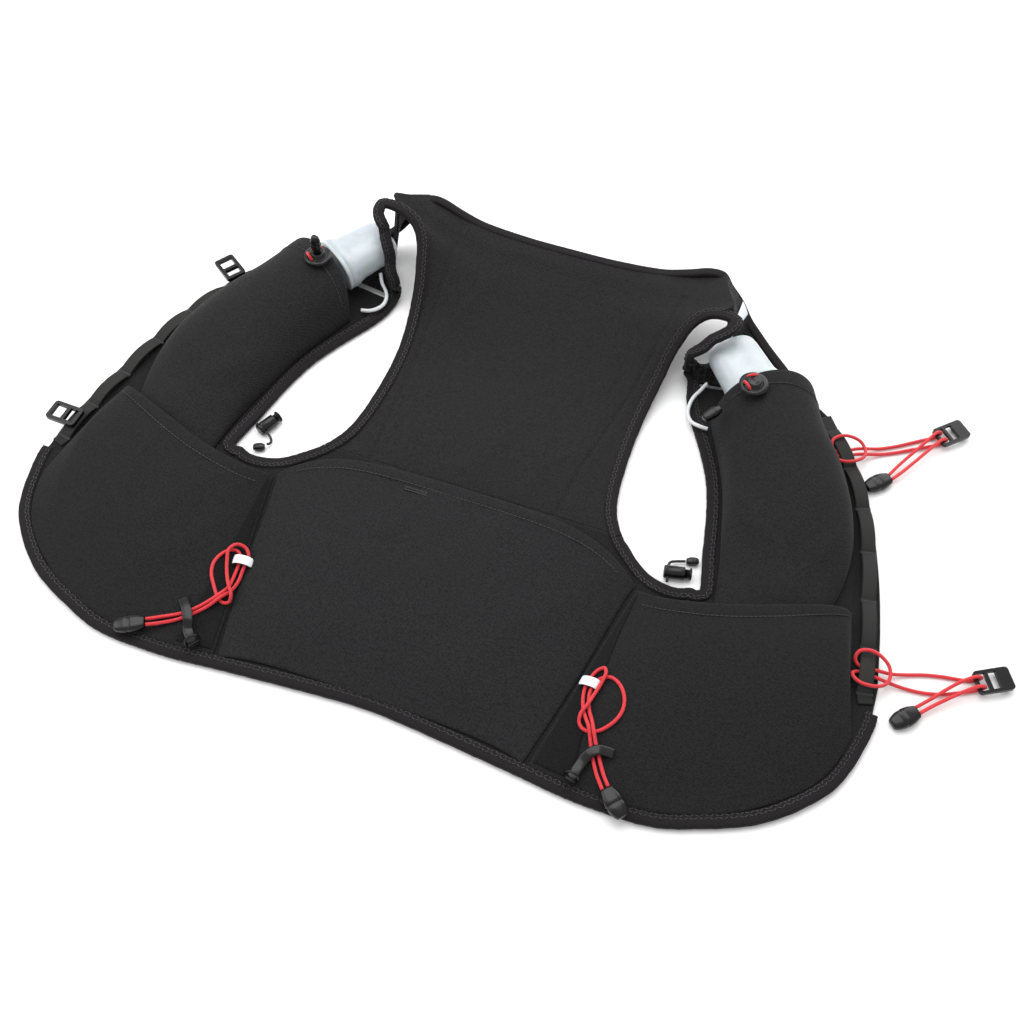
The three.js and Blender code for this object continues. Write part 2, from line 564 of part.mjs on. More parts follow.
function frontPanel(side) {
  const inner = frontRows.map((row) => {
    const a = onVest(row.inX, row.inY, 0, side);
    return inset(a, onVest(row.outX, row.outY, 0, side), bindingWidth / 2);
  });
  const outer = frontRows.map((row) => onVest(row.outX, row.outY, 0, side));
  const innerLine = new THREE.CatmullRomCurve3(inner, false, "catmullrom", 0.5);
  const outerLine = new THREE.CatmullRomCurve3(outer, false, "catmullrom", 0.5);
  return sheet(3, 8, (u, v, w) => {
    const { point, normal } = ruled(innerLine, outerLine, u, v);
    return point.addScaledVector(normal, w * backCloth);
  });
}

function strapPanel(side) {
  const at = strapSurface(side);
  return sheet(6, 11, (u, v, w) => at(u, v, w * backCloth));
}

// Where a flask cap starts, and its directions along, across and up.
function capFrame(side) {
  const place = caps[side < 0 ? "left" : "right"];
  const base = onVest(place.x, place.y, place.z, side);
  const axis = onVest(place.aimX, place.aimY, place.aimZ, side).sub(base).normalize();
  const across = new THREE.Vector3(-axis.y, axis.x, 0).normalize();
  return { base, axis, across, up: axis.clone().cross(across).normalize() };
}

// How far a point of the strap is pushed down by the cap that lies on it.
function pressed(side, point) {
  const { base, axis, across } = capFrame(side);
  const away = point.clone().sub(base);
  const flat = new THREE.Vector3(axis.x, axis.y, 0).normalize();
  const along = away.dot(flat);
  const off = (2 * away.dot(across)) / (collarWidth + 2 * capRoom);
  if (Math.abs(off) >= 1 || along > collarLength + capLength + capRoom) return 0;
  const under = base.z + along * (axis.z / Math.hypot(axis.x, axis.y));
  const deep = (capThick / 2 + capRoom) * Math.sqrt(1 - off ** 2);
  return Math.max(0, point.z - (under - deep));
}

// A point of the shoulder strap, u from the armhole to the neck edge, v up to the fold, height above its underside.
function strapSurface(side) {
  const inner = strapRows.map((row) => {
    const a = shoulderPoint(row.inX, row.inY, row, side);
    return inset(a, strapNeckEdge(row, side), bindingWidth * 0.9);
  });
  const outer = strapRows.map((row) => {
    const a = shoulderPoint(row.inX, row.inY, row, side);
    return inset(strapNeckEdge(row, side), a, neckBindingWidth / 2);
  });
  const off = new THREE.Vector3(side * 2 * gap, 0, 0);
  inner.push(inset(ridge(side, 0), ridge(side, 1), bindingWidth / 2).add(off));
  outer.push(ridge(side, 0.94).add(off));
  const sag = column(strapRows, "sag");
  const ends = strapRows.length / (strapRows.length - 1);
  const innerLine = new THREE.CatmullRomCurve3(inner, false, "catmullrom", 0.5);
  const outerLine = new THREE.CatmullRomCurve3(outer, false, "catmullrom", 0.5);
  return (u, v, height) => {
    const { point, normal } = ruled(innerLine, outerLine, u, v);
    point.addScaledVector(normal, height);
    point.z -= sag(Math.min(1, v * ends)) * strapSag * 4 * u * (1 - u);
    const top = point.clone().addScaledVector(normal, backCloth - height);
    point.z = Math.max(height, point.z - pressed(side, top));
    return point;
  };
}

add("back_yoke", trim(yokePanel(), ...edgeTools), paints.cloth);
add("lower_band", trim(bandPanel(), ...edgeTools), paints.cloth);
for (const { name, sign } of sides) {
  add(name + "_front_panel", trim(frontPanel(sign), ...edgeTools), paints.cloth);
  add(name + "_shoulder_strap", trim(strapPanel(sign), ...edgeTools), paints.mesh);
}

// Pockets, open at their mouths
const onCloth = backCloth + gap;

function backPocket() {
  const x = column(backPocketRows, "x");
  const edgeY = column(backPocketRows, "side");
  const midY = column(backPocketRows, "mid");
  const loft = column(backPocketRows, "loft");
  return sheet(10, 7, (u, v, w) => {
    const across = u * 2 - 1;
    const bow = Math.abs(across) ** 4.6;
    const y = THREE.MathUtils.lerp(midY(v), edgeY(v), bow) * backLength;
    const stand = loft(v) * backPocketLoft * (1 - across ** 4);
    return new THREE.Vector3(across * x(v) * halfWidth, y, onCloth + stand + w * pocketCloth);
  });
}

function sidePocket(side) {
  const foot = sidePocketRows.map((row) => onVest(row.footX, row.footY, 0, side));
  const mouth = sidePocketRows.map((row) => onVest(row.mouthX, row.mouthY, 0, side));
  const footLine = new THREE.CatmullRomCurve3(foot, false, "catmullrom", 0.5);
  const mouthLine = new THREE.CatmullRomCurve3(mouth, false, "catmullrom", 0.5);
  const swell = column(sideSwell, "loft");
  return sheet(9, 6, (u, v, w) => {
    const point = footLine.getPoint(u).lerp(mouthLine.getPoint(u), v);
    const arch = 1 - Math.abs(u * 2 - 1) ** 3;
    point.z = onCloth + swell(v) * arch * sidePocketLoft + w * pocketCloth;
    return point;
  });
}

// The flask pocket's section at height v, shrunk all round by margin: its two feet and its crown.
function flaskSection(side, margin) {
  const line = (x, y) => {
    const points = flaskPocketRows.map((row) => onVest(row[x], row[y], 0, side));
    return new THREE.CatmullRomCurve3(points, false, "catmullrom", 0.5);
  };
  const innerLine = line("inX", "inY");
  const outerLine = line("outX", "outY");
  const loft = column(flaskPocketRows, "loft");
  return (v) => {
    const a = innerLine.getPoint(v);
    const b = outerLine.getPoint(v);
    return { inner: inset(a, b, margin), outer: inset(b, a, margin), height: loft(v) * flaskPocketLoft - margin };
  };
}

function flaskPocket(side) {
  const outside = flaskSection(side, 0);
  const inside = flaskSection(side, pocketCloth);
  return sheet(10, 7, (u, v, w) => {
    const { inner, outer, height } = w > 0.5 ? outside(v) : inside(v);
    const turn = Math.PI * u;
    const point = inner.lerp(outer, (1 - Math.cos(turn)) / 2);
    point.y += mouthBow * backLength * Math.sin(turn) * v ** 4;
    point.z = onCloth + height * Math.sin(turn) ** pocketFullness;
    return point;
  });
}

add("back_pocket", backPocket(), paints.cloth);
for (const { name, sign } of sides) {
  add(name + "_side_pocket", sidePocket(sign), paints.cloth);
  add(name + "_flask_pocket", flaskPocket(sign), paints.cloth);
}

// Webbing loops, tacked down at each row and standing off between the tacks
const webbingSpans = webbingRows.length - 1;

function webbing(side) {
  const line = spline(webbingRows.map((row) => onVest(row.x, row.y, 0, side)));
  return sheet(1, webbingSpans * 4, (u, v, w) => {
    const point = line.getPoint(v).addScaledVector(flatAcross(line)(v).side, (u - 0.5) * webbingWidth);
    const { arch } = webbingRows[Math.min(webbingSpans - 1, Math.floor(webbingSpans * v))];
    const stand = webbingArch * arch * Math.abs(Math.sin(Math.PI * webbingSpans * v)) ** 0.7;
    point.z = onCloth + stand + w * webbingThick;
    return point;
  });
}

// Soft flask with its body in the pocket, and the cap cover with its collar outside the mouth
function flask(side) {
  const section = flaskSection(side, pocketCloth + flaskClearance);
  const drum = new THREE.CylinderGeometry(1, 1, 1, 10, 6);
  return reshape(drum, (p) => {
    const t = p.y + 0.5;
    const { inner, outer, height } = section(0.22 + 0.74 * t);
    const fill = Math.max(0.35, (1 - Math.abs(2 * t - 1) ** 3) ** 0.5);
    const point = inner.lerp(outer, 0.5 + (p.x * fill * flaskShare) / 2);
    point.z = onCloth + height * (0.5 + (p.z * fill) / 2);
    return point;
  });
}

function flaskCap(side) {
  const { base, axis, across, up } = capFrame(side);
  const total = collarLength + capLength;
  const round = 5; // length of the rounding at the tip
  const profile = [
    { at: 0, wide: collarWidth, thick: collarThick },
    { at: collarLength * 0.9, wide: collarWidth, thick: collarThick },
    { at: collarLength, wide: capWidth, thick: capThick },
    { at: total - round, wide: capWidth * 0.91, thick: capThick * 0.88 },
    { at: total, wide: capWidth * 0.7, thick: capThick * 0.65 },
  ];
  const drum = new THREE.CylinderGeometry(1, 1, 1, 12, profile.length - 1);
  return reshape(drum, (p) => {
    const row = profile[Math.round((p.y + 0.5) * (profile.length - 1))];
    const point = base.clone().addScaledVector(axis, row.at);
    return point.addScaledVector(across, (p.x * row.wide) / 2).addScaledVector(up, (p.z * row.thick) / 2);
  });
}

for (const { name, sign } of sides) {
  add(name + "_front_webbing", webbing(sign), paints.webbing);
  add(name + "_flask", flask(sign), paints.flask);
  add(name + "_flask_cap", flaskCap(sign), paints.cap);
}

// Small hardware
const spotPoint = (spot, z) => onVest(spot.x, spot.y, z, 1);
const turned = (spot) => (spot.turn * Math.PI) / 180;

// Puts a mesh, made with its long side along X and its underside at 0, on its spot.
function placeOn(mesh, spot, z) {
  mesh.position.copy(spotPoint(spot, z));
  mesh.rotation.z = turned(spot);
}

function roundedRectangle(length, width, radius) {
  const [x, y] = [length / 2, width / 2];
  const shape = new THREE.Shape();
  shape.absarc(x - radius, -y + radius, radius, -Math.PI / 2, 0, false);
  shape.absarc(x - radius, y - radius, radius, 0, Math.PI / 2, false);
  shape.absarc(-x + radius, y - radius, radius, Math.PI / 2, Math.PI, false);
  shape.absarc(-x + radius, -y + radius, radius, Math.PI, Math.PI * 1.5, false);
  return shape;
}

// A plate with rounded corners and two openings through it, each bounded by bars.
function slottedPlate(size, openings) {
  const depth = size.thick;
  const outline = roundedRectangle(size.length, size.width, 2.5);
  const plate = new THREE.ExtrudeGeometry(outline, { depth, bevelEnabled: false, curveSegments: 3 });
  const cuts = openings.map(([from, to]) => {
    const box = new THREE.BoxGeometry(to - from, size.width - 2 * size.bar, 3 * depth);
    return box.translate((from + to) / 2, 0, depth / 2);
  });
  return cuts.reduce((body, cut) => body.subtract(solid(cut)), solid(plate));
}

// Chest hook: a cord slot behind its bar, a second slot, and a nose turned down to the surface.
function hookPlate() {
  const first = -hook.length / 2 + hook.bar;
  const second = first + hook.slot + hook.bar;
  const plate = slottedPlate(hook, [
    [first, first + hook.slot],
    [second, second + hook.slot],
  ]);
  const nose = new THREE.BoxGeometry(hook.slot, hook.width * 0.7, hook.foot + hook.thick / 2);
  nose.translate(hook.length / 2 - hook.slot * 0.75, 0, (hook.thick / 2 - hook.foot) / 2);
  return geometryOf(plate.add(solid(nose)));
}

// Chest buckle: a frame with a slot for the webbing's clip and a window for the hook.
function buckleFrame() {
  const back = -buckle.length / 2;
  const middle = back + buckle.length * 0.4;
  return geometryOf(slottedPlate(buckle, [
    [back + buckle.bar, middle],
    [middle + buckle.bar, buckle.length / 2 - buckle.bar],
  ]));
}

// A cord end: an oval block that narrows towards its tail, its underside at 0.
function cordEndBlock(size) {
  const profile = [0.72, 0.95, 1, 0.85, 0.62];
  const drum = new THREE.CylinderGeometry(1, 1, 1, 10, profile.length - 1);
  return reshape(drum, (p) => {
    const swell = profile[Math.round((p.y + 0.5) * (profile.length - 1))];
    const square = (value) => Math.sign(value) * Math.abs(value) ** 0.7;
    const y = (square(p.x) * swell * size.width) / 2;
    const z = (square(p.z) * swell * size.thick + size.thick) / 2;
    return new THREE.Vector3(-p.y * size.length, y, z);
  });
}

const overWebbing = onCloth + webbingArch + webbingThick + gap;
placeOn(add("lower_chest_buckle", buckleFrame(), paints.plastic), spots.lowerBuckle, overWebbing);
placeOn(add("upper_chest_buckle", buckleFrame(), paints.plastic), spots.upperBuckle, overWebbing);
placeOn(add("lower_chest_hook", hookPlate(), paints.plastic), spots.lowerHook, hook.foot);
placeOn(add("upper_chest_hook", hookPlate(), paints.plastic), spots.upperHook, hook.foot);
placeOn(add("lower_chest_cord_end", cordEndBlock(cordEnd), paints.plastic), spots.lowerChestEnd, 0);
placeOn(add("upper_chest_cord_end", cordEndBlock(cordEnd), paints.plastic), spots.upperChestEnd, 0);
placeOn(add("left_pole_cord_end", cordEndBlock(cordEnd), paints.plastic), spots.leftPoleEnd, spots.leftPoleEnd.z);
placeOn(add("right_pole_cord_end", cordEndBlock(cordEnd), paints.plastic), spots.rightPoleEnd, spots.rightPoleEnd.z);

// Side cord locks: a barrel with a blind bore lying in the armhole, and the push button in it
function barrelBody() {
  const { radius, length, bore } = lock;
  const inner = radius - 1.2;
  const profile = [
    [0, 0],
    [radius - 0.8, 0],
    [radius, 0.8],
    [radius, length],
    [inner, length],
    [inner, length - bore],
    [0, length - bore],
  ].map(([x, y]) => new THREE.Vector2(x, y));
  const barrel = new THREE.LatheGeometry(profile, 12);
  const hole = new THREE.CylinderGeometry(lock.cordHole / 2, lock.cordHole / 2, 4 * radius, 8);
  hole.rotateZ(Math.PI / 2).translate(0, (length - bore) / 2, 0);
  return geometryOf(solid(barrel).subtract(solid(hole)));
}

function buttonBody() {
  const shaft = lock.radius - 1.2 - gap;
  const stand = button.travel + gap;
  const profile = [
    [0, -button.seat],
    [shaft, -button.seat],
    [shaft, stand],
    [button.flange, stand],
    [button.flange, stand + button.rim],
    [0, stand + button.rim],
  ].map(([x, y]) => new THREE.Vector2(x, y));
  return new THREE.LatheGeometry(profile, 12);
}

for (const { name } of sides) {
  const spot = spots[name + "SideLock"];
  const group = new THREE.Group();
  group.position.copy(spotPoint(spot, lock.radius));
  group.rotation.z = turned(spot) - Math.PI / 2;
  const barrel = add(name + "_side_lock", barrelBody(), paints.plastic);
  const push = add(name + "_side_lock_button", buttonBody(), paints.plastic);
  push.position.y = lock.length;
  group.add(barrel, push);
  vest.add(group);
}

// Mouth locks: a domed disc on the flask pocket's mouth
function mouthLockBody() {
  const { radius, height } = mouthLock;
  const profile = [
    [0, 0],
    [radius, 0],
    [radius, height * 0.35],
    [radius * 0.62, height * 0.6],
    [radius * 0.5, height],
    [0, height],
  ].map(([x, y]) => new THREE.Vector2(x, y));
  return new THREE.LatheGeometry(profile, 14).rotateX(Math.PI / 2);
}

for (const { name } of sides) {
  const top = onCloth + flaskPocketLoft + gap;
  placeOn(add(name + "_mouth_lock", mouthLockBody(), paints.plastic), spots[name + "MouthLock"], top);
}

// Mouth cord ends: the left one stands on its disc, and the right one lies on the pocket
const standing = cordEndBlock(standingEnd).rotateY(Math.PI / 2).translate(0, 0, standingEnd.length / 2);
const overDisc = onCloth + flaskPocketLoft + gap + mouthLock.height + gap;
placeOn(add("left_mouth_cord_end", standing, paints.plastic), spots.leftMouthLock, overDisc);
const lying = add("right_mouth_cord_end", cordEndBlock(standingEnd), paints.plastic);
placeOn(lying, spots.rightMouthEnd, spots.rightMouthEnd.z);

// Reflective band across each shoulder strap
for (const { name, sign } of sides) {
  const at = strapSurface(sign);
  const band = sheet(6, 2, (u, v, w) => {
    const share = bandShare + (v - 0.5) * bandSpan;
    return at(0.06 + 0.88 * u, share, backCloth + 3 * gap + w * bandThick);
  });
  add(name + "_reflective_band", band, paints.reflective);
}

// Tags: a short strip arched over the two strands of a pole cord
for (const { name } of sides) {
  const spot = spots[name + "Tag"];
  const strip = sheet(8, 1, (u, v, w) => {
    const rise = spot.tilt * (u - 0.5) + tag.arch * (1 - Math.abs(2 * u - 1) ** 3);
    return new THREE.Vector3((u - 0.5) * tag.width, (v - 0.5) * tag.length, rise + w * tag.thick);
  });
  placeOn(add(name + "_pole_tag", strip, paints.reflective), spot, spot.z);
}

// Pole hooks: a bent strip over the strands, its end through a ring at the hem
function routeCurve(route) {
  return spline(route.map(([x, y, z]) => new THREE.Vector3(x, y, z)));
}

for (const [name, route, ringShare] of [
  ["left", leftHookRoute, 5 / 6],
  ["right", rightHookRoute, 1 / 7],
]) {
  const curve = routeCurve(route);
  const across = flatAcross(curve);
  const strip = sheet(1, 14, (u, v, w) => {
    const { side, up } = across(v);
    const point = curve.getPoint(v).addScaledVector(side, (u - 0.5) * poleHook.width);
    return point.addScaledVector(up, (w - 0.5) * poleHook.thick);
  });
  add(name + "_pole_hook", strip, paints.plastic);
  const wire = new THREE.TorusGeometry(ring.radius, ring.wire / 2, 5, 12);
  const facing = add(name + "_pole_ring", wire, paints.plastic);
  facing.quaternion.setFromUnitVectors(new THREE.Vector3(0, 0, 1), curve.getTangent(ringShare));
  facing.position.copy(curve.getPoint(ringShare));
}

// Cords, each one round tube along its route, with a step every few diameters
function cordTube(route, diameter, pitch) {
  const path = routeCurve(route);
  const circle = new THREE.Shape().absarc(0, 0, diameter / 2, 0, 2 * Math.PI, false);
  const steps = Math.ceil(path.getLength() / (pitch * diameter));
  return new THREE.ExtrudeGeometry(circle, { steps, extrudePath: path, curveSegments: 4 });
}

add("lower_chest_cord", cordTube(lowerChestRoute, cordDia, 2), paints.cord);
add("upper_chest_cord", cordTube(upperChestRoute, cordDia, 2), paints.cord);
add("left_pole_cord", cordTube(leftPoleRoute, cordDia, 2.6), paints.cord);
add("right_pole_cord", cordTube(rightPoleRoute, cordDia, 2.6), paints.cord);
add("left_shoulder_loop", cordTube(leftLoopRoute, loopDia, 2), paints.elastic);
add("right_shoulder_loop", cordTube(rightLoopRoute, loopDia, 2), paints.elastic);
add("left_side_cord", cordTube(leftSideRoute, sideCordDia, 2), paints.plastic);
add("right_side_cord", cordTube(rightSideRoute, sideCordDia, 2), paints.plastic);
placeOn(add("left_side_cord_end", cordEndBlock(smallEnd), paints.plastic), spots.leftSideEnd, 0);
placeOn(add("right_side_cord_end", cordEndBlock(smallEnd), paints.plastic), spots.rightSideEnd, 0);

// The origin is on the surface, under the middle of the vest without its cords
const onCord = /_chest_(cord|cord_end|hook)$|_(pole|side)_cord(_end)?$|_shoulder_loop$/;
const extent = new THREE.Box3();
vest.updateMatrixWorld(true);
vest.traverse((piece) => {
  if (piece.isMesh && !onCord.test(piece.name)) extent.expandByObject(piece, true);
});
const middle = extent.getCenter(new THREE.Vector3());
vest.position.set(-middle.x, -middle.y, -extent.min.z);

export default vest;
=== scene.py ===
"""A running hydration vest laid open on a pale floor, with a soft flask in each front pocket."""
import json
import math

import bpy
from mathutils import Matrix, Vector, noise

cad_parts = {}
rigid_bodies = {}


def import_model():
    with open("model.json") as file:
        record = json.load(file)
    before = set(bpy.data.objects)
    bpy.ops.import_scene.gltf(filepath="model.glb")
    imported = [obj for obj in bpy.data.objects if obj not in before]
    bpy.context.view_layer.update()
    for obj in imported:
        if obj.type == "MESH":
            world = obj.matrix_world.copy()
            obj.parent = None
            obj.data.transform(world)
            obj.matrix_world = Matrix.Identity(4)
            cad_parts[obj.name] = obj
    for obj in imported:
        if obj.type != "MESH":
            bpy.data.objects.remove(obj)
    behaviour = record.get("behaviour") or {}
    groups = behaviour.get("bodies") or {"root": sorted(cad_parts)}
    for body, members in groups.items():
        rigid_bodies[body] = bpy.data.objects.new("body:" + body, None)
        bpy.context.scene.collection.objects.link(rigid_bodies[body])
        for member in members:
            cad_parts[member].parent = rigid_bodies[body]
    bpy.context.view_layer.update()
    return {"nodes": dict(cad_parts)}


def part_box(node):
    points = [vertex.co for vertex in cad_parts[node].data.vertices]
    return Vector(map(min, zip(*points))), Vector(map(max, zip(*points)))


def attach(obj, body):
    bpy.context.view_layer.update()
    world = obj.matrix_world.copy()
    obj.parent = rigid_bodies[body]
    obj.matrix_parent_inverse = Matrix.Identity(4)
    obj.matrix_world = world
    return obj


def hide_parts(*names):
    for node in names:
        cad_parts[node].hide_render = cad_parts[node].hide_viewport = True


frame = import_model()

bl_info = {
    "name": "Running vest",
    "version": (1, 0, 0),
    "blender": (4, 5, 0),
    "location": "3D View > Sidebar > Vest",
    "description": "Dresses the packed solids of a running hydration vest",
    "category": "Object",
}

MM = 0.001

# Sizes of the vest in millimetres, as its solids have them
HALF_WIDTH = 320
BACK_LENGTH = 438
NECK_RISE = 28
NECK_CORNER_RISE = 45
BACK_CLOTH = 4
POCKET_CLOTH = 1.6
GAP = 0.3
BINDING_INSET = 4.5
NECK_INSET = 3.5
STRAP_INSET = 6
STRAP_SAG = 11
RIDGE_END = 0.97
BACK_SWELL = 13
SIDE_SWELL = 17
FLASK_SWELL = 46
CAP_WIDTH = 48
CAP_BED = 19
WEBBING_WIDTH = 10
WEBBING_CLOTH = 1.5
WEBBING_STAND = 4.2
MOUTH_SEAM = 0.93
CROWNS = {-1: {"rise": 62, "lean": 17, "out": 11}, 1: {"rise": 55, "lean": 0, "out": 0}}
ON_CLOTH = BACK_CLOTH + GAP
SIDES = (("left", -1), ("right", 1))


def rows(names, *values):
    """A table: one dictionary for each row, with the named columns."""
    keys = names.split()
    return [dict(zip(keys, row)) for row in values]


# Back yoke beside the armhole, from the armhole's foot to the shoulder fold, in shares of the sizes above.
YOKE = rows(
    "x y rise lean out midY midRise",
    (0.372, 0.459, 0, 0, 0, 0.459, 0),
    (0.338, 0.507, 0, 0, 0, 0.507, 0),
    (0.322, 0.598, 0, 0, 0, 0.598, 0),
    (0.322, 0.703, 0.04, 0, 0, 0.703, 0.04),
    (0.334, 0.779, 0.2, 0, 0, 0.776, 0.18),
    (0.35, 0.838, 0.49, 0.1, 0, 0.836, 0.39),
    (0.388, 0.879, 0.8, 0.6, 0, 0.886, 0.61),
    (0.441, 0.898, 1, 1, 0.45, 0.93, 0.79),
)
NECK_CORNER = {"x": 0.388, "y": 1.002}
NECK_MID = 0.995

# Lower band from the centre line to a wing tip: the hem and the upper edge.
HEM = rows(
    "x hem top",
    (0, 0.03, 0.457), (0.14, 0.024, 0.457), (0.266, 0.016, 0.457), (0.34, 0.011, 0.457),
    (0.378, 0.008, 0.451), (0.416, 0.005, 0.425), (0.453, 0.003, 0.406), (0.49, 0.002, 0.397),
    (0.531, 0.002, 0.395), (0.569, 0.002, 0.4), (0.64, 0.008, 0.39), (0.716, 0.027, 0.379),
    (0.834, 0.068, 0.362), (0.95, 0.153, 0.346), (0.99, 0.235, 0.341), (1, 0.275, 0.338),
)
HEM_END = {"x": 1, "y": 0.286}

# Front panel from the side wing to the shoulder: its armhole edge and its outer edge.
FRONT = rows(
    "x y outX outY",
    (0.572, 0.402, 0.985, 0.344), (0.556, 0.47, 0.968, 0.425), (0.532, 0.56, 0.944, 0.51),
    (0.508, 0.62, 0.916, 0.585), (0.475, 0.671, 0.88, 0.663), (0.447, 0.708, 0.838, 0.726),
    (0.422, 0.74, 0.8, 0.772), (0.4, 0.778, 0.755, 0.813), (0.388, 0.808, 0.703, 0.842),
)

# Shoulder strap up to its fold: armhole edge, then neck edge.
STRAP = rows(
    "x y rise lean out outX outY outRise sag",
    (0.386, 0.817, 0.05, 0.1, 0.1, 0.695, 0.854, 0.03, 0),
    (0.376, 0.82, 0.2, 0.25, 0.4, 0.65, 0.874, 0.06, 0.6),
    (0.372, 0.824, 0.4, 0.45, 1, 0.6, 0.906, 0.1, 1),
    (0.378, 0.827, 0.55, 0.7, 1, 0.556, 0.932, 0.16, 1.2),
    (0.394, 0.829, 0.7, 1, 1, 0.522, 0.95, 0.26, 1.2),
    (0.413, 0.842, 0.82, 1.12, 0.9, 0.49, 0.964, 0.4, 1),
    (0.438, 0.854, 0.91, 1, 0.6, 0.458, 0.982, 0.6, 0.5),
    (0.453, 0.87, 0.97, 1, 0.35, 0.42, 0.997, 0.78, 0.2),
)
ARMHOLE_FOOT = rows("x y", (0.556, 0.404), (0.525, 0.396), (0.486, 0.397), (0.45, 0.407), (0.412, 0.429))

BACK_POCKET = rows(
    "x side mid loft",
    (0.344, 0.037, 0.054, 0),
    (0.369, 0.114, 0.125, 0.6),
    (0.394, 0.205, 0.215, 0.9),
    (0.412, 0.285, 0.3, 1),
    (0.425, 0.34, 0.375, 1),
    (0.436, 0.374, 0.436, 0.9),
)
SIDE_POCKET = rows(
    "footX footY mouthX mouthY",
    (0.359, 0.036, 0.445, 0.366),
    (0.462, 0.029, 0.5, 0.356),
    (0.581, 0.029, 0.572, 0.361),
    (0.688, 0.047, 0.65, 0.375),
    (0.8, 0.086, 0.744, 0.4),
    (0.906, 0.155, 0.825, 0.424),
    (0.95, 0.235, 0.875, 0.438),
    (0.938, 0.29, 0.9, 0.445),
)
SIDE_LOFT = rows("loft", (0,), (0.5,), (0.85,), (1,), (0.92,))
FLASK_POCKET = rows(
    "inX inY outX outY loft",
    (0.62, 0.342, 0.82, 0.342, 0.1),
    (0.601, 0.447, 0.862, 0.462, 0.3),
    (0.58, 0.52, 0.87, 0.545, 0.55),
    (0.556, 0.594, 0.85, 0.615, 0.74),
    (0.526, 0.653, 0.804, 0.69, 0.87),
    (0.496, 0.7, 0.742, 0.753, 0.96),
    (0.476, 0.733, 0.7, 0.808, 1),
)
CAPS = {
    -1: {"x": 0.558, "y": 0.812, "z": 26, "aimX": 0.476, "aimY": 0.9, "aimZ": 29},
    1: {"x": 0.566, "y": 0.786, "z": 26, "aimX": 0.459, "aimY": 0.869, "aimZ": 30},
}
WEBBING = rows(
    "x y arch",
    (0.97, 0.3, 0),
    (0.963, 0.315, 1),
    (0.95, 0.393, 1),
    (0.928, 0.477, 1),
    (0.903, 0.566, 1),
    (0.869, 0.648, 1),
    (0.819, 0.724, 1),
    (0.757, 0.79, 0),
    (0.73, 0.818, 0),
)

# Hardware in the plan: its middle in shares, its height in millimetres, and the direction of its long side
# in degrees.
SPOTS = {
    "lower_chest_cord_end": (1.053, 0.299, 0, 47),
    "upper_chest_cord_end": (0.888, 0.714, 0, 45),
    "left_pole_cord_end": (-0.552, 0.026, 7.4, 29),
    "right_pole_cord_end": (0.545, 0.015, 6.6, 139),
    "left_mouth_lock": (-0.572, 0.774, 50.6, 95),
    "right_mouth_lock": (0.55, 0.758, 50.6, 95),
    "right_mouth_cord_end": (0.478, 0.7, 33, 55),
    "left_side_cord_end": (-0.517, 0.4155, 0, 22),
    "right_side_cord_end": (0.5394, 0.4541, 0, 200),
    "left_side_lock": (-0.536, 0.445, 4.8, 66),
    "right_side_lock": (0.486, 0.418, 4.8, 12),
}

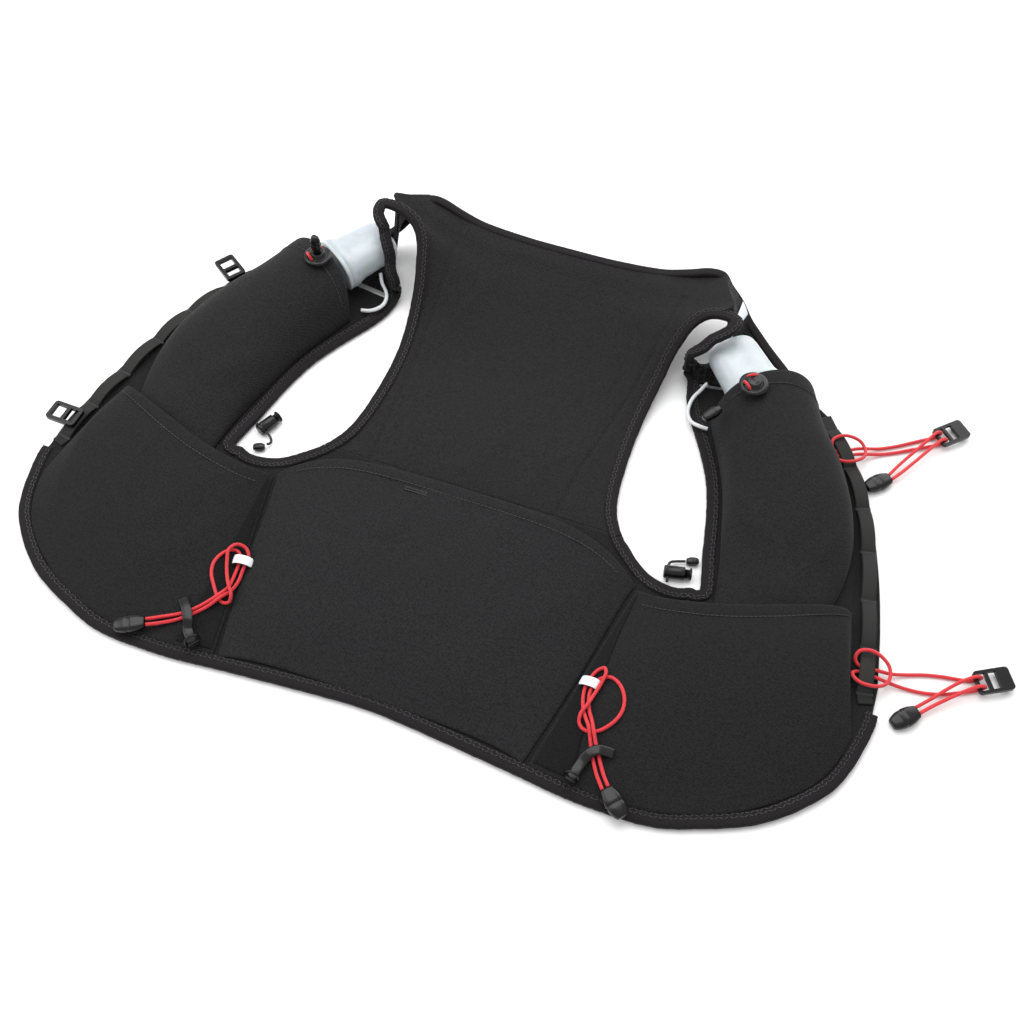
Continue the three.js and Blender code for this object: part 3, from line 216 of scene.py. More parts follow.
# Cord routes, in millimetres across, up the back and above the floor, from one end of the cord to the other.
ROUTES = {
    "lower_chest_cord": [
        (342.2, 140.8, 3.9), (351, 150.5, 4.6), (360, 161, 6), (368.5, 169.6, 7.6), (376.4, 175.3, 8.4),
        (380.1, 177.5, 4.9), (376.3, 175.3, 1.6), (368, 173, 1.5), (356, 171, 1.5), (344, 168, 1.5),
        (332, 163.5, 1.8), (322, 159.5, 3.9), (314, 157.8, 6), (307, 157.3, 5.8), (300, 157.6, 6),
        (296.9, 161, 8), (298.2, 165.5, 10.6), (303, 167.8, 11.3), (309, 167.8, 11.3), (315, 165.5, 10.4),
        (320, 161.5, 8.6), (321.8, 155, 7.6), (320, 148.5, 8.6), (315, 144, 10.4), (309, 142.2, 11.3),
        (303, 142.4, 11.3), (298.6, 145, 10.6), (297.3, 149.4, 8), (300.4, 152.4, 6), (307, 152.7, 5.8),
        (314, 152.2, 6), (322, 152.5, 3.9), (334, 153.2, 1.8), (346, 154.6, 1.5), (358, 158, 1.5),
        (369, 163.2, 1.5), (379.8, 169.3, 1.6), (383.6, 171.4, 4.9), (379.9, 169.3, 8.4), (373, 164.3, 7.6),
        (364.5, 156.8, 6), (354.5, 147.3, 4.6), (345.6, 137.6, 3.9),
    ],
    "upper_chest_cord": [
        (290.4, 322.4, 3.9), (295.5, 333, 4.6), (303, 346.5, 6), (310.5, 359.5, 7.6), (317.5, 371.5, 8.4),
        (320.6, 374.6, 4.9), (317.2, 371.3, 1.6), (310, 366.5, 1.5), (301, 360, 1.5), (290, 352.3, 1.5),
        (279, 345.8, 1.8), (269, 340.6, 3.9), (262, 336, 6), (256, 332, 5.8), (249.8, 328.1, 6),
        (245.4, 329.3, 8), (243.5, 333.3, 10.6), (246, 337.9, 11.3), (251, 341.4, 11.3), (257.5, 342.9, 10.4),
        (264, 342, 8.9), (268.7, 337.2, 7.7), (269.6, 330.2, 8.6), (266.5, 324, 10.4), (261.5, 319.8, 11.3),
        (256, 317.6, 11.3), (251, 318.4, 10.6), (249.4, 321.9, 8), (252.4, 325.8, 6), (258.6, 328.8, 5.8),
        (265, 332, 6), (271.5, 335.6, 4.2), (281, 340.9, 1.8), (292, 347, 1.5), (303.5, 354.4, 1.5),
        (313.5, 360.6, 1.5), (322.1, 366.6, 1.6), (325.6, 369.6, 4.9), (322.5, 366.5, 8.4), (315, 354.5, 7.6),
        (307, 341, 6), (299.5, 328.5, 4.6), (293.4, 319.4, 3.9),
    ],
    "left_pole_cord": [
        (-168.2, 18.6, 11.1), (-159.5, 24, 10.4), (-147.5, 31.5, 10.3), (-140, 38.5, 10.6), (-134.5, 45, 11.6),
        (-129.3, 53, 12.3), (-127, 62, 9.6), (-127.8, 72, 8.9), (-129, 81, 9.1), (-131, 87.5, 9.3),
        (-135, 90, 10.2), (-139.5, 87.5, 12), (-143, 81, 13.6), (-144.2, 73.5, 13.7), (-142, 66, 12.9),
        (-136.5, 58.5, 10.9), (-130.5, 52, 9.4), (-125.5, 49.6, 8.4), (-121.4, 51.3, 8.8), (-121.6, 56, 12),
        (-126.4, 62, 13.4), (-132, 70, 12.3), (-136.5, 79, 13), (-138.6, 87, 15.2), (-135.8, 93.2, 13.6),
        (-130, 94, 11), (-125.8, 90, 9.2), (-124.8, 84, 8.8), (-124.2, 77, 8.4), (-123.2, 69, 8.2),
        (-124, 60, 9.3), (-127.6, 51.5, 11.8), (-133.5, 41.5, 10.7), (-141, 33, 10), (-149, 25.8, 9.7),
        (-158, 19.6, 10.2), (-166, 14.8, 11.1),
    ],
    "right_pole_cord": [
        (164.8, 12.1, 10.2), (158.5, 20, 9.8), (153.5, 28, 10.2), (149.8, 35, 11.1), (147, 41, 12.2),
        (143.4, 48, 14.5), (136.6, 58.5, 11.8), (133.2, 68, 10.4), (132.2, 76, 9.8), (133.6, 84, 10.4),
        (136.8, 90, 12.2), (140.2, 91.8, 14), (142.4, 87.6, 16), (141.6, 80, 14.6), (139.8, 71, 14.6),
        (138, 62.5, 15.6), (135.6, 55, 14), (136.6, 49.5, 11.8), (140, 46.5, 11.6), (145, 46, 12),
        (150, 48, 12.7), (155, 52.6, 14), (159.3, 59.5, 15.4), (160.8, 67.5, 16.2), (158.6, 76, 16.8),
        (153, 83.3, 16), (146.5, 86.4, 14.6), (141.4, 85.2, 12.6), (137.8, 81, 11.6), (136.4, 72.5, 11.3),
        (139.8, 60.5, 12.6), (144, 53, 14.4), (147.4, 46.4, 15.1), (150.6, 40.5, 13.2), (154, 35, 11.8),
        (158.3, 28, 10.7), (163, 21, 10.1), (167.6, 15.4, 10.2),
    ],
    "left_shoulder_loop": [
        (-144.6, 368.4, 17.5), (-140.6, 361.6, 14.5), (-135.6, 357, 11), (-132.5, 351, 10),
        (-132.2, 343, 9.8), (-135.6, 337.2, 9.6), (-141, 334.4, 8.4), (-147.5, 333.2, 7.8),
    ],
    "right_shoulder_loop": [
        (139.5, 355, 10), (136.6, 347, 9.6), (133.6, 339.5, 9.4), (132.4, 331.5, 9), (133.2, 323.5, 8.2),
        (137.6, 316.4, 8.2), (144.5, 313.2, 9.6), (151.6, 313.6, 8.2),
    ],
    "left_side_cord": [
        (-176.9, 200.6, 4.8), (-174.2, 199.4, 4.8), (-170.3, 197.6, 4.8), (-165.8, 195.6, 4.8),
        (-162, 193.6, 4), (-159.2, 190.4, 2.8), (-159.4, 187.6, 3), (-161.2, 186.6, 3.2),
    ],
    "right_side_cord": [
        (160.1, 175.6, 4.4), (159.6, 178.2, 4.8), (158.4, 183.7, 4.8), (157.3, 188.8, 4.8),
        (158, 192.6, 3.6), (161.5, 195.4, 2.4), (165, 196.6, 2.6), (167.9, 197.3, 3),
    ],
}
HOOK_ROUTES = {
    "left": [
        (-151.5, 41.5, 12.2), (-145, 35, 13.8), (-140, 28.2, 13.4), (-137.3, 21.8, 10.6),
        (-133.2, 17.4, 10.8), (-129.5, 14.4, 12.2), (-127, 12.4, 12.8),
    ],
    "right": [
        (143.2, 9.8, 12.8), (143.8, 13, 12.2), (145, 18.5, 11), (146.8, 25, 11.4), (149.5, 31, 13.7),
        (154, 34.8, 14.8), (159.5, 36.2, 13.6), (164, 36.4, 12.6),
    ],
}

# The frame's origin lies under the middle of the vest. The tables above start on the centre line at the hem.
_pocket_low, _pocket_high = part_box("back_pocket")
SHIFT = Vector((
    (_pocket_low[0] + _pocket_high[0]) / 2,
    _pocket_low[1] - BACK_POCKET[0]["side"] * BACK_LENGTH * MM,
    0,
))


def metres(point):
    """A point of the tables in the frame's metres."""
    return Vector(point) * MM + SHIFT


class Line:
    """A smooth line through points: even steps between them, or steps that follow their spacing."""

    def __init__(self, points, closed=False, spaced=True):
        self.points = [Vector(p) for p in points]
        self.closed = closed
        self.spaced = spaced

    def at(self, t):
        pts = self.points
        n = len(pts)
        run = (n if self.closed else n - 1) * t
        i = math.floor(run)
        w = run - i
        if self.closed:
            i %= n
        elif i >= n - 1:
            i, w = n - 2, 1.0
        elif i < 0:
            i, w = 0, 0.0
        p1, p2 = pts[i % n], pts[(i + 1) % n]
        p0 = pts[(i - 1) % n] if self.closed or i > 0 else p1 * 2 - p2
        p3 = pts[(i + 2) % n] if self.closed or i + 2 < n else p2 * 2 - p1
        if self.spaced:
            d0, d1, d2 = ((b - a).length ** 0.5 for a, b in ((p0, p1), (p1, p2), (p2, p3)))
            d1 = d1 if d1 > 1e-4 else 1.0
            d0 = d0 if d0 > 1e-4 else d1
            d2 = d2 if d2 > 1e-4 else d1
            t1 = ((p1 - p0) / d0 - (p2 - p0) / (d0 + d1) + (p2 - p1) / d1) * d1
            t2 = ((p2 - p1) / d1 - (p3 - p1) / (d1 + d2) + (p3 - p2) / d2) * d1
        else:
            t1, t2 = (p2 - p0) * 0.5, (p3 - p1) * 0.5
        c2 = (p2 - p1) * 3 - t1 * 2 - t2
        c3 = (p1 - p2) * 2 + t1 + t2
        return p1 + t1 * w + c2 * w * w + c3 * w * w * w

    def run(self, t):
        step = 1e-4
        return (self.at(min(1, t + step)) - self.at(max(0, t - step))).normalized()

    def across(self, t):
        """Level side direction, to the left of the run, and the up direction square to both."""
        run = self.run(t)
        side = Vector((-run.y, run.x, 0)).normalized()
        return side, run.cross(side).normalized()

    def even(self, step):
        """Points along the line about step millimetres apart."""
        count = 40 * len(self.points)
        fine = [self.at(k / count) for k in range(count + 1)]
        length = sum((b - a).length for a, b in zip(fine, fine[1:]))
        pieces = max(2, round(length / step))
        out, walked, k = [fine[0]], 0.0, 0
        for n in range(1, pieces):
            goal = length * n / pieces
            while k < count - 1 and walked + (fine[k + 1] - fine[k]).length < goal:
                walked += (fine[k + 1] - fine[k]).length
                k += 1
            span = (fine[k + 1] - fine[k]).length or 1
            out.append(fine[k].lerp(fine[k + 1], (goal - walked) / span))
        return out + [fine[-1]]


def column(table, name):
    """One column of a table as a smooth function from 0 at the first row to 1 at the last."""
    line = Line([(row[name], 0, 0) for row in table], spaced=False)
    return lambda t: line.at(t).x


def on_vest(x, y, z, side=1):
    """A place given in shares of the sizes, at a height in millimetres."""
    return Vector((side * x * HALF_WIDTH, y * BACK_LENGTH, z))


def shoulder_point(row, side):
    """A point of the armhole's edge, raised and leaned as the shoulder on that side is."""
    crown = CROWNS[side]
    point = on_vest(row["x"], row["y"], row["rise"] * crown["rise"], side)
    point.x += side * crown["out"] * row["out"]
    point.y += crown["lean"] * row["lean"]
    return point


def armhole_line(side):
    """The armhole's edge, up the yoke, down the strap and the front panel, and round its foot."""
    points = [shoulder_point(row, side) for row in YOKE[:-1]]
    points += [shoulder_point(row, side) for row in reversed(STRAP)]
    points += [on_vest(row["x"], row["y"], 0, side) for row in list(reversed(FRONT))[1:]]
    points += [on_vest(row["x"], row["y"], 0, side) for row in ARMHOLE_FOOT]
    return Line(points, closed=True)


def beside(line, count, distance, lift):
    """The line moved sideways, and up by half a binding so that it rests on the floor."""
    points = []
    for k in range(count + (0 if line.closed else 1)):
        t = k / count
        point = line.at(t) + line.across(t)[0] * distance
        point.z = max(0, point.z) + lift
        points.append(point)
    return Line(points, line.closed)


def hem_line(size):
    """The hem from wing tip to wing tip, moved in by half a binding."""
    half = [on_vest(row["x"], row["hem"], 0) for row in HEM] + [on_vest(HEM_END["x"], HEM_END["y"], 0)]
    mirrored = [Vector((-p.x, p.y, p.z)) for p in reversed(half[1:])]
    return beside(Line(mirrored + half), 64, size.binding_width / MM / 2, size.binding_thick / MM / 2)


def armhole_middle(size, side):
    """The armhole's edge, moved in by half a binding."""
    wide, thick = size.binding_width / MM, size.binding_thick / MM
    return beside(armhole_line(side), 60, side * wide / 2, thick / 2)


TUCKS = {-1: 0.86, 1: 1}


def strap_edge(row, side):
    """The strap's neck edge, turned in under the flask cap on the left."""
    point = on_vest(row["outX"], row["outY"], row["outRise"] * NECK_CORNER_RISE, side)
    corner = NECK_CORNER["x"] * HALF_WIDTH
    point.x = side * (corner + (abs(point.x) - corner) * TUCKS[side])
    return point


def neck_line(size):
    """The neck edge, up one strap, across the yoke and down the other strap."""
    edge = []
    for share in (-0.66, -0.33, 0, 0.33, 0.66):
        lift = abs(share) ** 3
        rise = NECK_RISE + (NECK_CORNER_RISE - NECK_RISE) * lift
        point = on_vest(share * NECK_CORNER["x"], NECK_MID, rise)
        point.y += (NECK_CORNER["y"] - NECK_MID) * BACK_LENGTH * lift
        edge.append(point)
    corners = [on_vest(NECK_CORNER["x"], NECK_CORNER["y"], NECK_CORNER_RISE, side) for side in (-1, 1)]
    points = [strap_edge(row, -1) for row in STRAP] + [corners[0]] + edge + [corners[1]]
    points += [strap_edge(row, 1) for row in reversed(STRAP)]
    return beside(Line(points), 56, -size.neck_width / MM / 2, size.neck_thick / MM / 2)


# Meshes


def finish_mesh(name, verts, faces, uvs):
    """A mesh object from points in the tables' millimetres, faces out, with a UV for each vertex."""
    mesh = bpy.data.meshes.new(name)
    mesh.from_pydata([metres(v) for v in verts], [], faces)
    layer = mesh.uv_layers.new(name="along")
    for loop in mesh.loops:
        layer.data[loop.index].uv = uvs[loop.vertex_index]
    if signed_volume(mesh) < 0:
        mesh.flip_normals()
    mesh.polygons.foreach_set("use_smooth", [True] * len(mesh.polygons))
    mesh.validate()
    piece = bpy.data.objects.new(name, mesh)
    bpy.context.scene.collection.objects.link(piece)
    return piece


def signed_volume(mesh):
    """Above 0 where a closed mesh's faces look out, below 0 where they look in."""
    mesh.calc_loop_triangles()
    verts = mesh.vertices
    total = 0.0
    for tri in mesh.loop_triangles:
        a, b, c = (verts[i].co for i in tri.vertices)
        total += a.dot(b.cross(c))
    return total


def sheet(name, cells_u, cells_v, place, scale=(1, 1)):
    """A closed sheet: place(u, v, w) says where it lies, w 1 on top and 0 below, with rounded rims."""
    verts, uvs, faces = [], [], []
    nu, nv = cells_u + 1, cells_v + 1
    for w in (1, 0):
        for j in range(nv):
            for i in range(nu):
                u, v = i / cells_u, j / cells_v
                verts.append(place(u, v, w))
                uvs.append((u * scale[0], v * scale[1]))
    under = nu * nv
    for j in range(cells_v):
        for i in range(cells_u):
            a = j * nu + i
            faces.append((a, a + 1, a + nu + 1, a + nu))
            faces.append((under + a, under + a + nu, under + a + nu + 1, under + a + 1))
    rim = list(range(nu))
    rim += [j * nu + cells_u for j in range(1, nv)]
    rim += [cells_v * nu + i for i in range(cells_u - 1, -1, -1)]
    rim += [j * nu for j in range(cells_v - 1, 0, -1)]
    middle = len(verts)
    centre = sum((verts[k] for k in rim), Vector()) / len(rim)
    for k in rim:
        top, low = verts[k], verts[under + k]
        half = (top - low).length / 2
        mid = (top + low) / 2
        out = mid - centre
        out.z = 0
        verts.append(mid + (out.normalized() * half * 0.6 if out.length > 0 else Vector()))
        uvs.append(uvs[k])
    count = len(rim)
    for n in range(count):
        a, b = rim[n], rim[(n + 1) % count]
        c, d = middle + n, middle + (n + 1) % count
        faces.append((b, a, c, d))
        faces.append((d, c, under + a, under + b))
    return finish_mesh(name, verts, faces, uvs)


def tube_faces(sections, ring):
    """Faces of a closed tube of rings laid one after another."""
    faces = []
    for k in range(sections - 1):
        for i in range(ring):
            a, b = k * ring + i, k * ring + (i + 1) % ring
            faces.append((a, b, b + ring, a + ring))
    faces.append(tuple(reversed(range(ring))))
    faces.append(tuple(range((sections - 1) * ring, sections * ring)))
    return faces


def rounded(a, wide, thick, power):
    """A point at angle a of a rounded rectangle."""
    c, s = math.cos(a), math.sin(a)
    return (math.copysign(abs(c) ** (2 / power), c) * wide / 2,
            math.copysign(abs(s) ** (2 / power), s) * thick / 2)


def rod(name, line, steps, ring, section, start=0.0, end=1.0):
    """A closed rod along a line: section(t, a) gives the offsets to the side and up at angle a."""
    verts, uvs = [], []
    length = 0.0
    before = None
    for k in range(steps + 1):
        t = start + (end - start) * k / steps
        at = line.at(t)
        if before is not None:
            length += (at - before).length
        before = at
        side, up = line.across(t)
        for i in range(ring):
            a = 2 * math.pi * i / ring
            x, z = section(k / steps, a)
            verts.append(at + side * x + up * z)
            uvs.append((i / ring, length))
    return finish_mesh(name, verts, tube_faces(steps + 1, ring), uvs)


def oval(wide, thick, power):
    """Section of a rod: a rounded rectangle."""
    return lambda _t, a: rounded(a, wide, thick, power)


def lofted(name, profile, ring, place, power=2.0):
    """A closed body of rounded sections: profile rows are (along, wide, thick, lift)."""
    verts, uvs = [], []
    for along, wide, thick, lift in profile:
        for i in range(ring):
            y, z = rounded(2 * math.pi * i / ring, wide, thick, power)
            verts.append(place(along, y, z + lift))
            uvs.append((i / ring, along))
    return finish_mesh(name, verts, tube_faces(len(profile), ring), uvs)


def turned(name, profile, ring, place):
    """A round body: profile rows are (along, radius)."""
    return lofted(name, [(along, 2 * r, 2 * r, 0) for along, r in profile], ring, place)


def applied(piece):
    """The piece with its modifiers turned into plain mesh."""
    bpy.context.view_layer.update()
    graph = bpy.context.evaluated_depsgraph_get()
    mesh = bpy.data.meshes.new_from_object(piece.evaluated_get(graph))
    piece.modifiers.clear()
    old, piece.data = piece.data, mesh
    bpy.data.meshes.remove(old)
    mesh.name = piece.name
    return piece


def node_copy(node, name):
    """A piece with the mesh of a CAD node, its place in its mesh."""
    source = frame["nodes"][node]
    mesh = source.data.copy()
    mesh.transform(source.matrix_world)
    mesh.materials.clear()
    piece = bpy.data.objects.new(name, mesh)
    bpy.context.scene.collection.objects.link(piece)
    return piece


# Finishes of this scene that share one slot of the record.
SLOTS = {"lower_cloth": "outer_cloth", "painted_shade_cloth": "outer_cloth", "side_cloth": "outer_cloth"}


def stands_for(piece, node, finish, body="vest"):
    """Gives a finished piece its material and the body it rides on, and hides the node it stands for."""
    piece.data.materials.clear()
    piece.data.materials.append(bpy.data.materials[finish])
    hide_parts(node)
    SLOTS.get(finish, finish)
    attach(piece, body)
    return piece


def rides(piece, finish, body="vest"):
    """Gives a piece that only the scene has its material and the body it rides on."""
    if not piece.data.materials:
        piece.data.materials.append(bpy.data.materials[finish])
    SLOTS.get(finish, finish)
    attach(piece, body)
    return piece


# Materials


def new_group(name, inputs, outputs):
    """A shader node group with named inputs and outputs."""
    group = bpy.data.node_groups.new(name, "ShaderNodeTree")
    for label, kind, value in inputs:
        socket = group.interface.new_socket(name=label, in_out="INPUT", socket_type=kind)
        socket.default_value = value
    for label, kind in outputs:
        group.interface.new_socket(name=label, in_out="OUTPUT", socket_type=kind)
    source = group.nodes.new("NodeGroupInput")
    sink = group.nodes.new("NodeGroupOutput")
    return group, source, sink


def math_node(nodes, links, operation, a, b=None):
    """The result of one sum: a and b are numbers or outputs of other nodes."""
    node = nodes.new("ShaderNodeMath")
    node.operation = operation
    for k, value in enumerate((a, b)):
        if value is None:
            continue
        if isinstance(value, (int, float)):
            node.inputs[k].default_value = value
        else:
            links.new(value, node.inputs[k])
    return node.outputs[0]


def weave_group(name, coordinate):
    """Threads that cross each other, with fuzz and coarser specks: Height and Normal."""
    group, source, sink = new_group(
        name,
        [
            ("Across", "NodeSocketFloat", 900.0),
            ("Along", "NodeSocketFloat", 900.0),
            ("Depth", "NodeSocketFloat", 0.0003),
            ("Fuzz", "NodeSocketFloat", 0.3),
            ("Grain", "NodeSocketFloat", 0.0),
        ],
        [("Height", "NodeSocketFloat"), ("Normal", "NodeSocketVector")],
    )
    nodes, links = group.nodes, group.links
    place = nodes.new("ShaderNodeTexCoord").outputs[coordinate]
    split = nodes.new("ShaderNodeSeparateXYZ")
    links.new(place, split.inputs[0])
    fold = nodes.new("ShaderNodeTexNoise")
    fold.inputs["Scale"].default_value = 60
    links.new(place, fold.inputs["Vector"])
    waver = math_node(nodes, links, "MULTIPLY", fold.outputs["Fac"], 3.0)
    threads = []
    for axis, pitch in (("X", "Across"), ("Y", "Along")):
        run = math_node(nodes, links, "MULTIPLY", split.outputs[axis], source.outputs[pitch])
        run = math_node(nodes, links, "ADD", run, waver)
        threads.append(math_node(nodes, links, "SINE", run))
    crossing = math_node(nodes, links, "MULTIPLY", *threads)
    fuzz = nodes.new("ShaderNodeTexNoise")
    fuzz.inputs["Scale"].default_value = 1500
    fuzz.inputs["Detail"].default_value = 2
    links.new(place, fuzz.inputs["Vector"])
    rough = math_node(nodes, links, "MULTIPLY", fuzz.outputs["Fac"], source.outputs["Fuzz"])
    half = math_node(nodes, links, "MULTIPLY", crossing, 0.5)
    height = math_node(nodes, links, "ADD", math_node(nodes, links, "ADD", half, 0.5), rough)
    grain = nodes.new("ShaderNodeTexNoise")
    grain.inputs["Scale"].default_value = 720
    grain.inputs["Detail"].default_value = 1
    links.new(place, grain.inputs["Vector"])
    speck = math_node(nodes, links, "SUBTRACT", grain.outputs["Fac"], 0.5)
    speck = math_node(nodes, links, "MULTIPLY", speck, source.outputs["Grain"])
    height = math_node(nodes, links, "ADD", height, speck)
    bump = nodes.new("ShaderNodeBump")
    bump.inputs["Strength"].default_value = 0.8
    links.new(source.outputs["Depth"], bump.inputs["Distance"])
    links.new(height, bump.inputs["Height"])
    links.new(height, sink.inputs["Height"])
    links.new(bump.outputs["Normal"], sink.inputs["Normal"])
    return group


def cell_group(name):
    """Open cells of a spacer mesh: Wall is 1 on the threads and 0 in a cell."""
    group, source, sink = new_group(
        name,
        [
            ("Cells", "NodeSocketFloat", 260.0),
            ("Depth", "NodeSocketFloat", 0.0012),
            ("Wall Width", "NodeSocketFloat", 0.16),
        ],
        [("Wall", "NodeSocketFloat"), ("Normal", "NodeSocketVector")],
    )
    nodes, links = group.nodes, group.links
    place = nodes.new("ShaderNodeTexCoord").outputs["Object"]
    cells = nodes.new("ShaderNodeTexVoronoi")
    cells.feature = "DISTANCE_TO_EDGE"
    cells.inputs["Randomness"].default_value = 0.35
    links.new(place, cells.inputs["Vector"])
    links.new(source.outputs["Cells"], cells.inputs["Scale"])
    inside = math_node(nodes, links, "DIVIDE", cells.outputs["Distance"], source.outputs["Wall Width"])
    clipped = math_node(nodes, links, "MINIMUM", inside, 1.0)
    wall = math_node(nodes, links, "SUBTRACT", 1.0, clipped)
    bump = nodes.new("ShaderNodeBump")
    links.new(source.outputs["Depth"], bump.inputs["Distance"])
    links.new(wall, bump.inputs["Height"])
    links.new(wall, sink.inputs["Wall"])
    links.new(bump.outputs["Normal"], sink.inputs["Normal"])
    return group


def wear_group(name):
    """Fine scuffs of a moulded or filmy surface: Tone, which sets the colour, and Normal."""
    group, source, sink = new_group(
        name,
        [("Scale", "NodeSocketFloat", 300.0), ("Depth", "NodeSocketFloat", 0.00004)],
        [("Tone", "NodeSocketFloat"), ("Normal", "NodeSocketVector")],
    )
    nodes, links = group.nodes, group.links
    place = nodes.new("ShaderNodeTexCoord").outputs["Object"]
    grain = nodes.new("ShaderNodeTexNoise")
    grain.inputs["Detail"].default_value = 5
    links.new(place, grain.inputs["Vector"])
    links.new(source.outputs["Scale"], grain.inputs["Scale"])
    bump = nodes.new("ShaderNodeBump")
    links.new(source.outputs["Depth"], bump.inputs["Distance"])
    links.new(grain.outputs["Fac"], bump.inputs["Height"])
    links.new(grain.outputs["Fac"], sink.inputs["Tone"])
    links.new(bump.outputs["Normal"], sink.inputs["Normal"])
    return group


def material(name, group, settings, dark, light, factor, roughness, constants=()):
    """A Principled material whose colour runs from dark to light by a value of the group."""
    mat = bpy.data.materials.get(name) or bpy.data.materials.new(name)
    mat.use_nodes = True
    nodes, links = mat.node_tree.nodes, mat.node_tree.links
    nodes.clear()
    out = nodes.new("ShaderNodeOutputMaterial")
    shader = nodes.new("ShaderNodeBsdfPrincipled")
    links.new(shader.outputs[0], out.inputs["Surface"])
    effect = nodes.new("ShaderNodeGroup")
    effect.node_tree = group
    for label, value in settings.items():
        effect.inputs[label].default_value = value
    mix = nodes.new("ShaderNodeMix")
    mix.data_type = "RGBA"
    mix.inputs["A"].default_value = (*dark, 1)
    mix.inputs["B"].default_value = (*light, 1)
    links.new(effect.outputs[factor], mix.inputs["Factor"])
    links.new(mix.outputs["Result"], shader.inputs["Base Color"])
    links.new(effect.outputs["Normal"], shader.inputs["Normal"])
    shader.inputs["Roughness"].default_value = roughness
    for label, value in constants:
        shader.inputs[label].default_value = value
    return mat


# Settings


def length(name, description, default):
    """A setting in metres."""
    return bpy.props.FloatProperty(name=name, description=description, default=default, unit="LENGTH")


def colour(name, description, default):
    """A setting that holds a colour."""
    return bpy.props.FloatVectorProperty(
        name=name, description=description, default=default, size=3, subtype="COLOR")


class VestSettings(bpy.types.PropertyGroup):
    """Sizes and colours of the vest's dress."""

    binding_width: length("Binding width", "Width of the armhole and hem binding", 0.009)
    binding_thick: length("Binding thickness", "Thickness of the binding", 0.006)
    neck_width: length("Neck binding width", "Width of the neck binding", 0.007)
    neck_thick: length("Neck binding thickness", "Thickness of the neck binding", 0.005)
    crease: length("Crease height", "Height of the soft creases in the cloth", 0.0009)
    stitch_pitch: length("Stitch pitch", "Distance between two stitches", 0.0032)
    stitch_length: length("Stitch length", "Length of one stitch", 0.0024)
    thread: length("Thread", "Thickness of the sewing thread", 0.0007)
    cord_diameter: length("Cord", "Diameter of the red cords", 0.0025)
    loop_diameter: length("Loop", "Diameter of the elastic loops", 0.003)
    side_diameter: length("Side cord", "Diameter of the cords at the side locks", 0.002)
    cloth_dark: colour("Cloth, dark", "Cloth in its low parts", (0.0062, 0.0062, 0.0068))
    cloth_light: colour("Cloth, light", "Cloth on its threads", (0.0165, 0.0165, 0.0176))
    cord_colour: colour("Cord colour", "Colour of the red cords", (0.82, 0.018, 0.03))
    floor_colour: colour("Floor", "Colour of the floor", (0.93, 0.93, 0.93))


# Each cloth and how much of the cloth colours it keeps. The 0.4 share makes the darker sheet of painted shade
# along each side pocket's edge towards the back pocket.
CLOTHS = (("outer_cloth", 1.0), ("side_cloth", 0.8), ("lower_cloth", 0.72), ("painted_shade_cloth", 0.4))


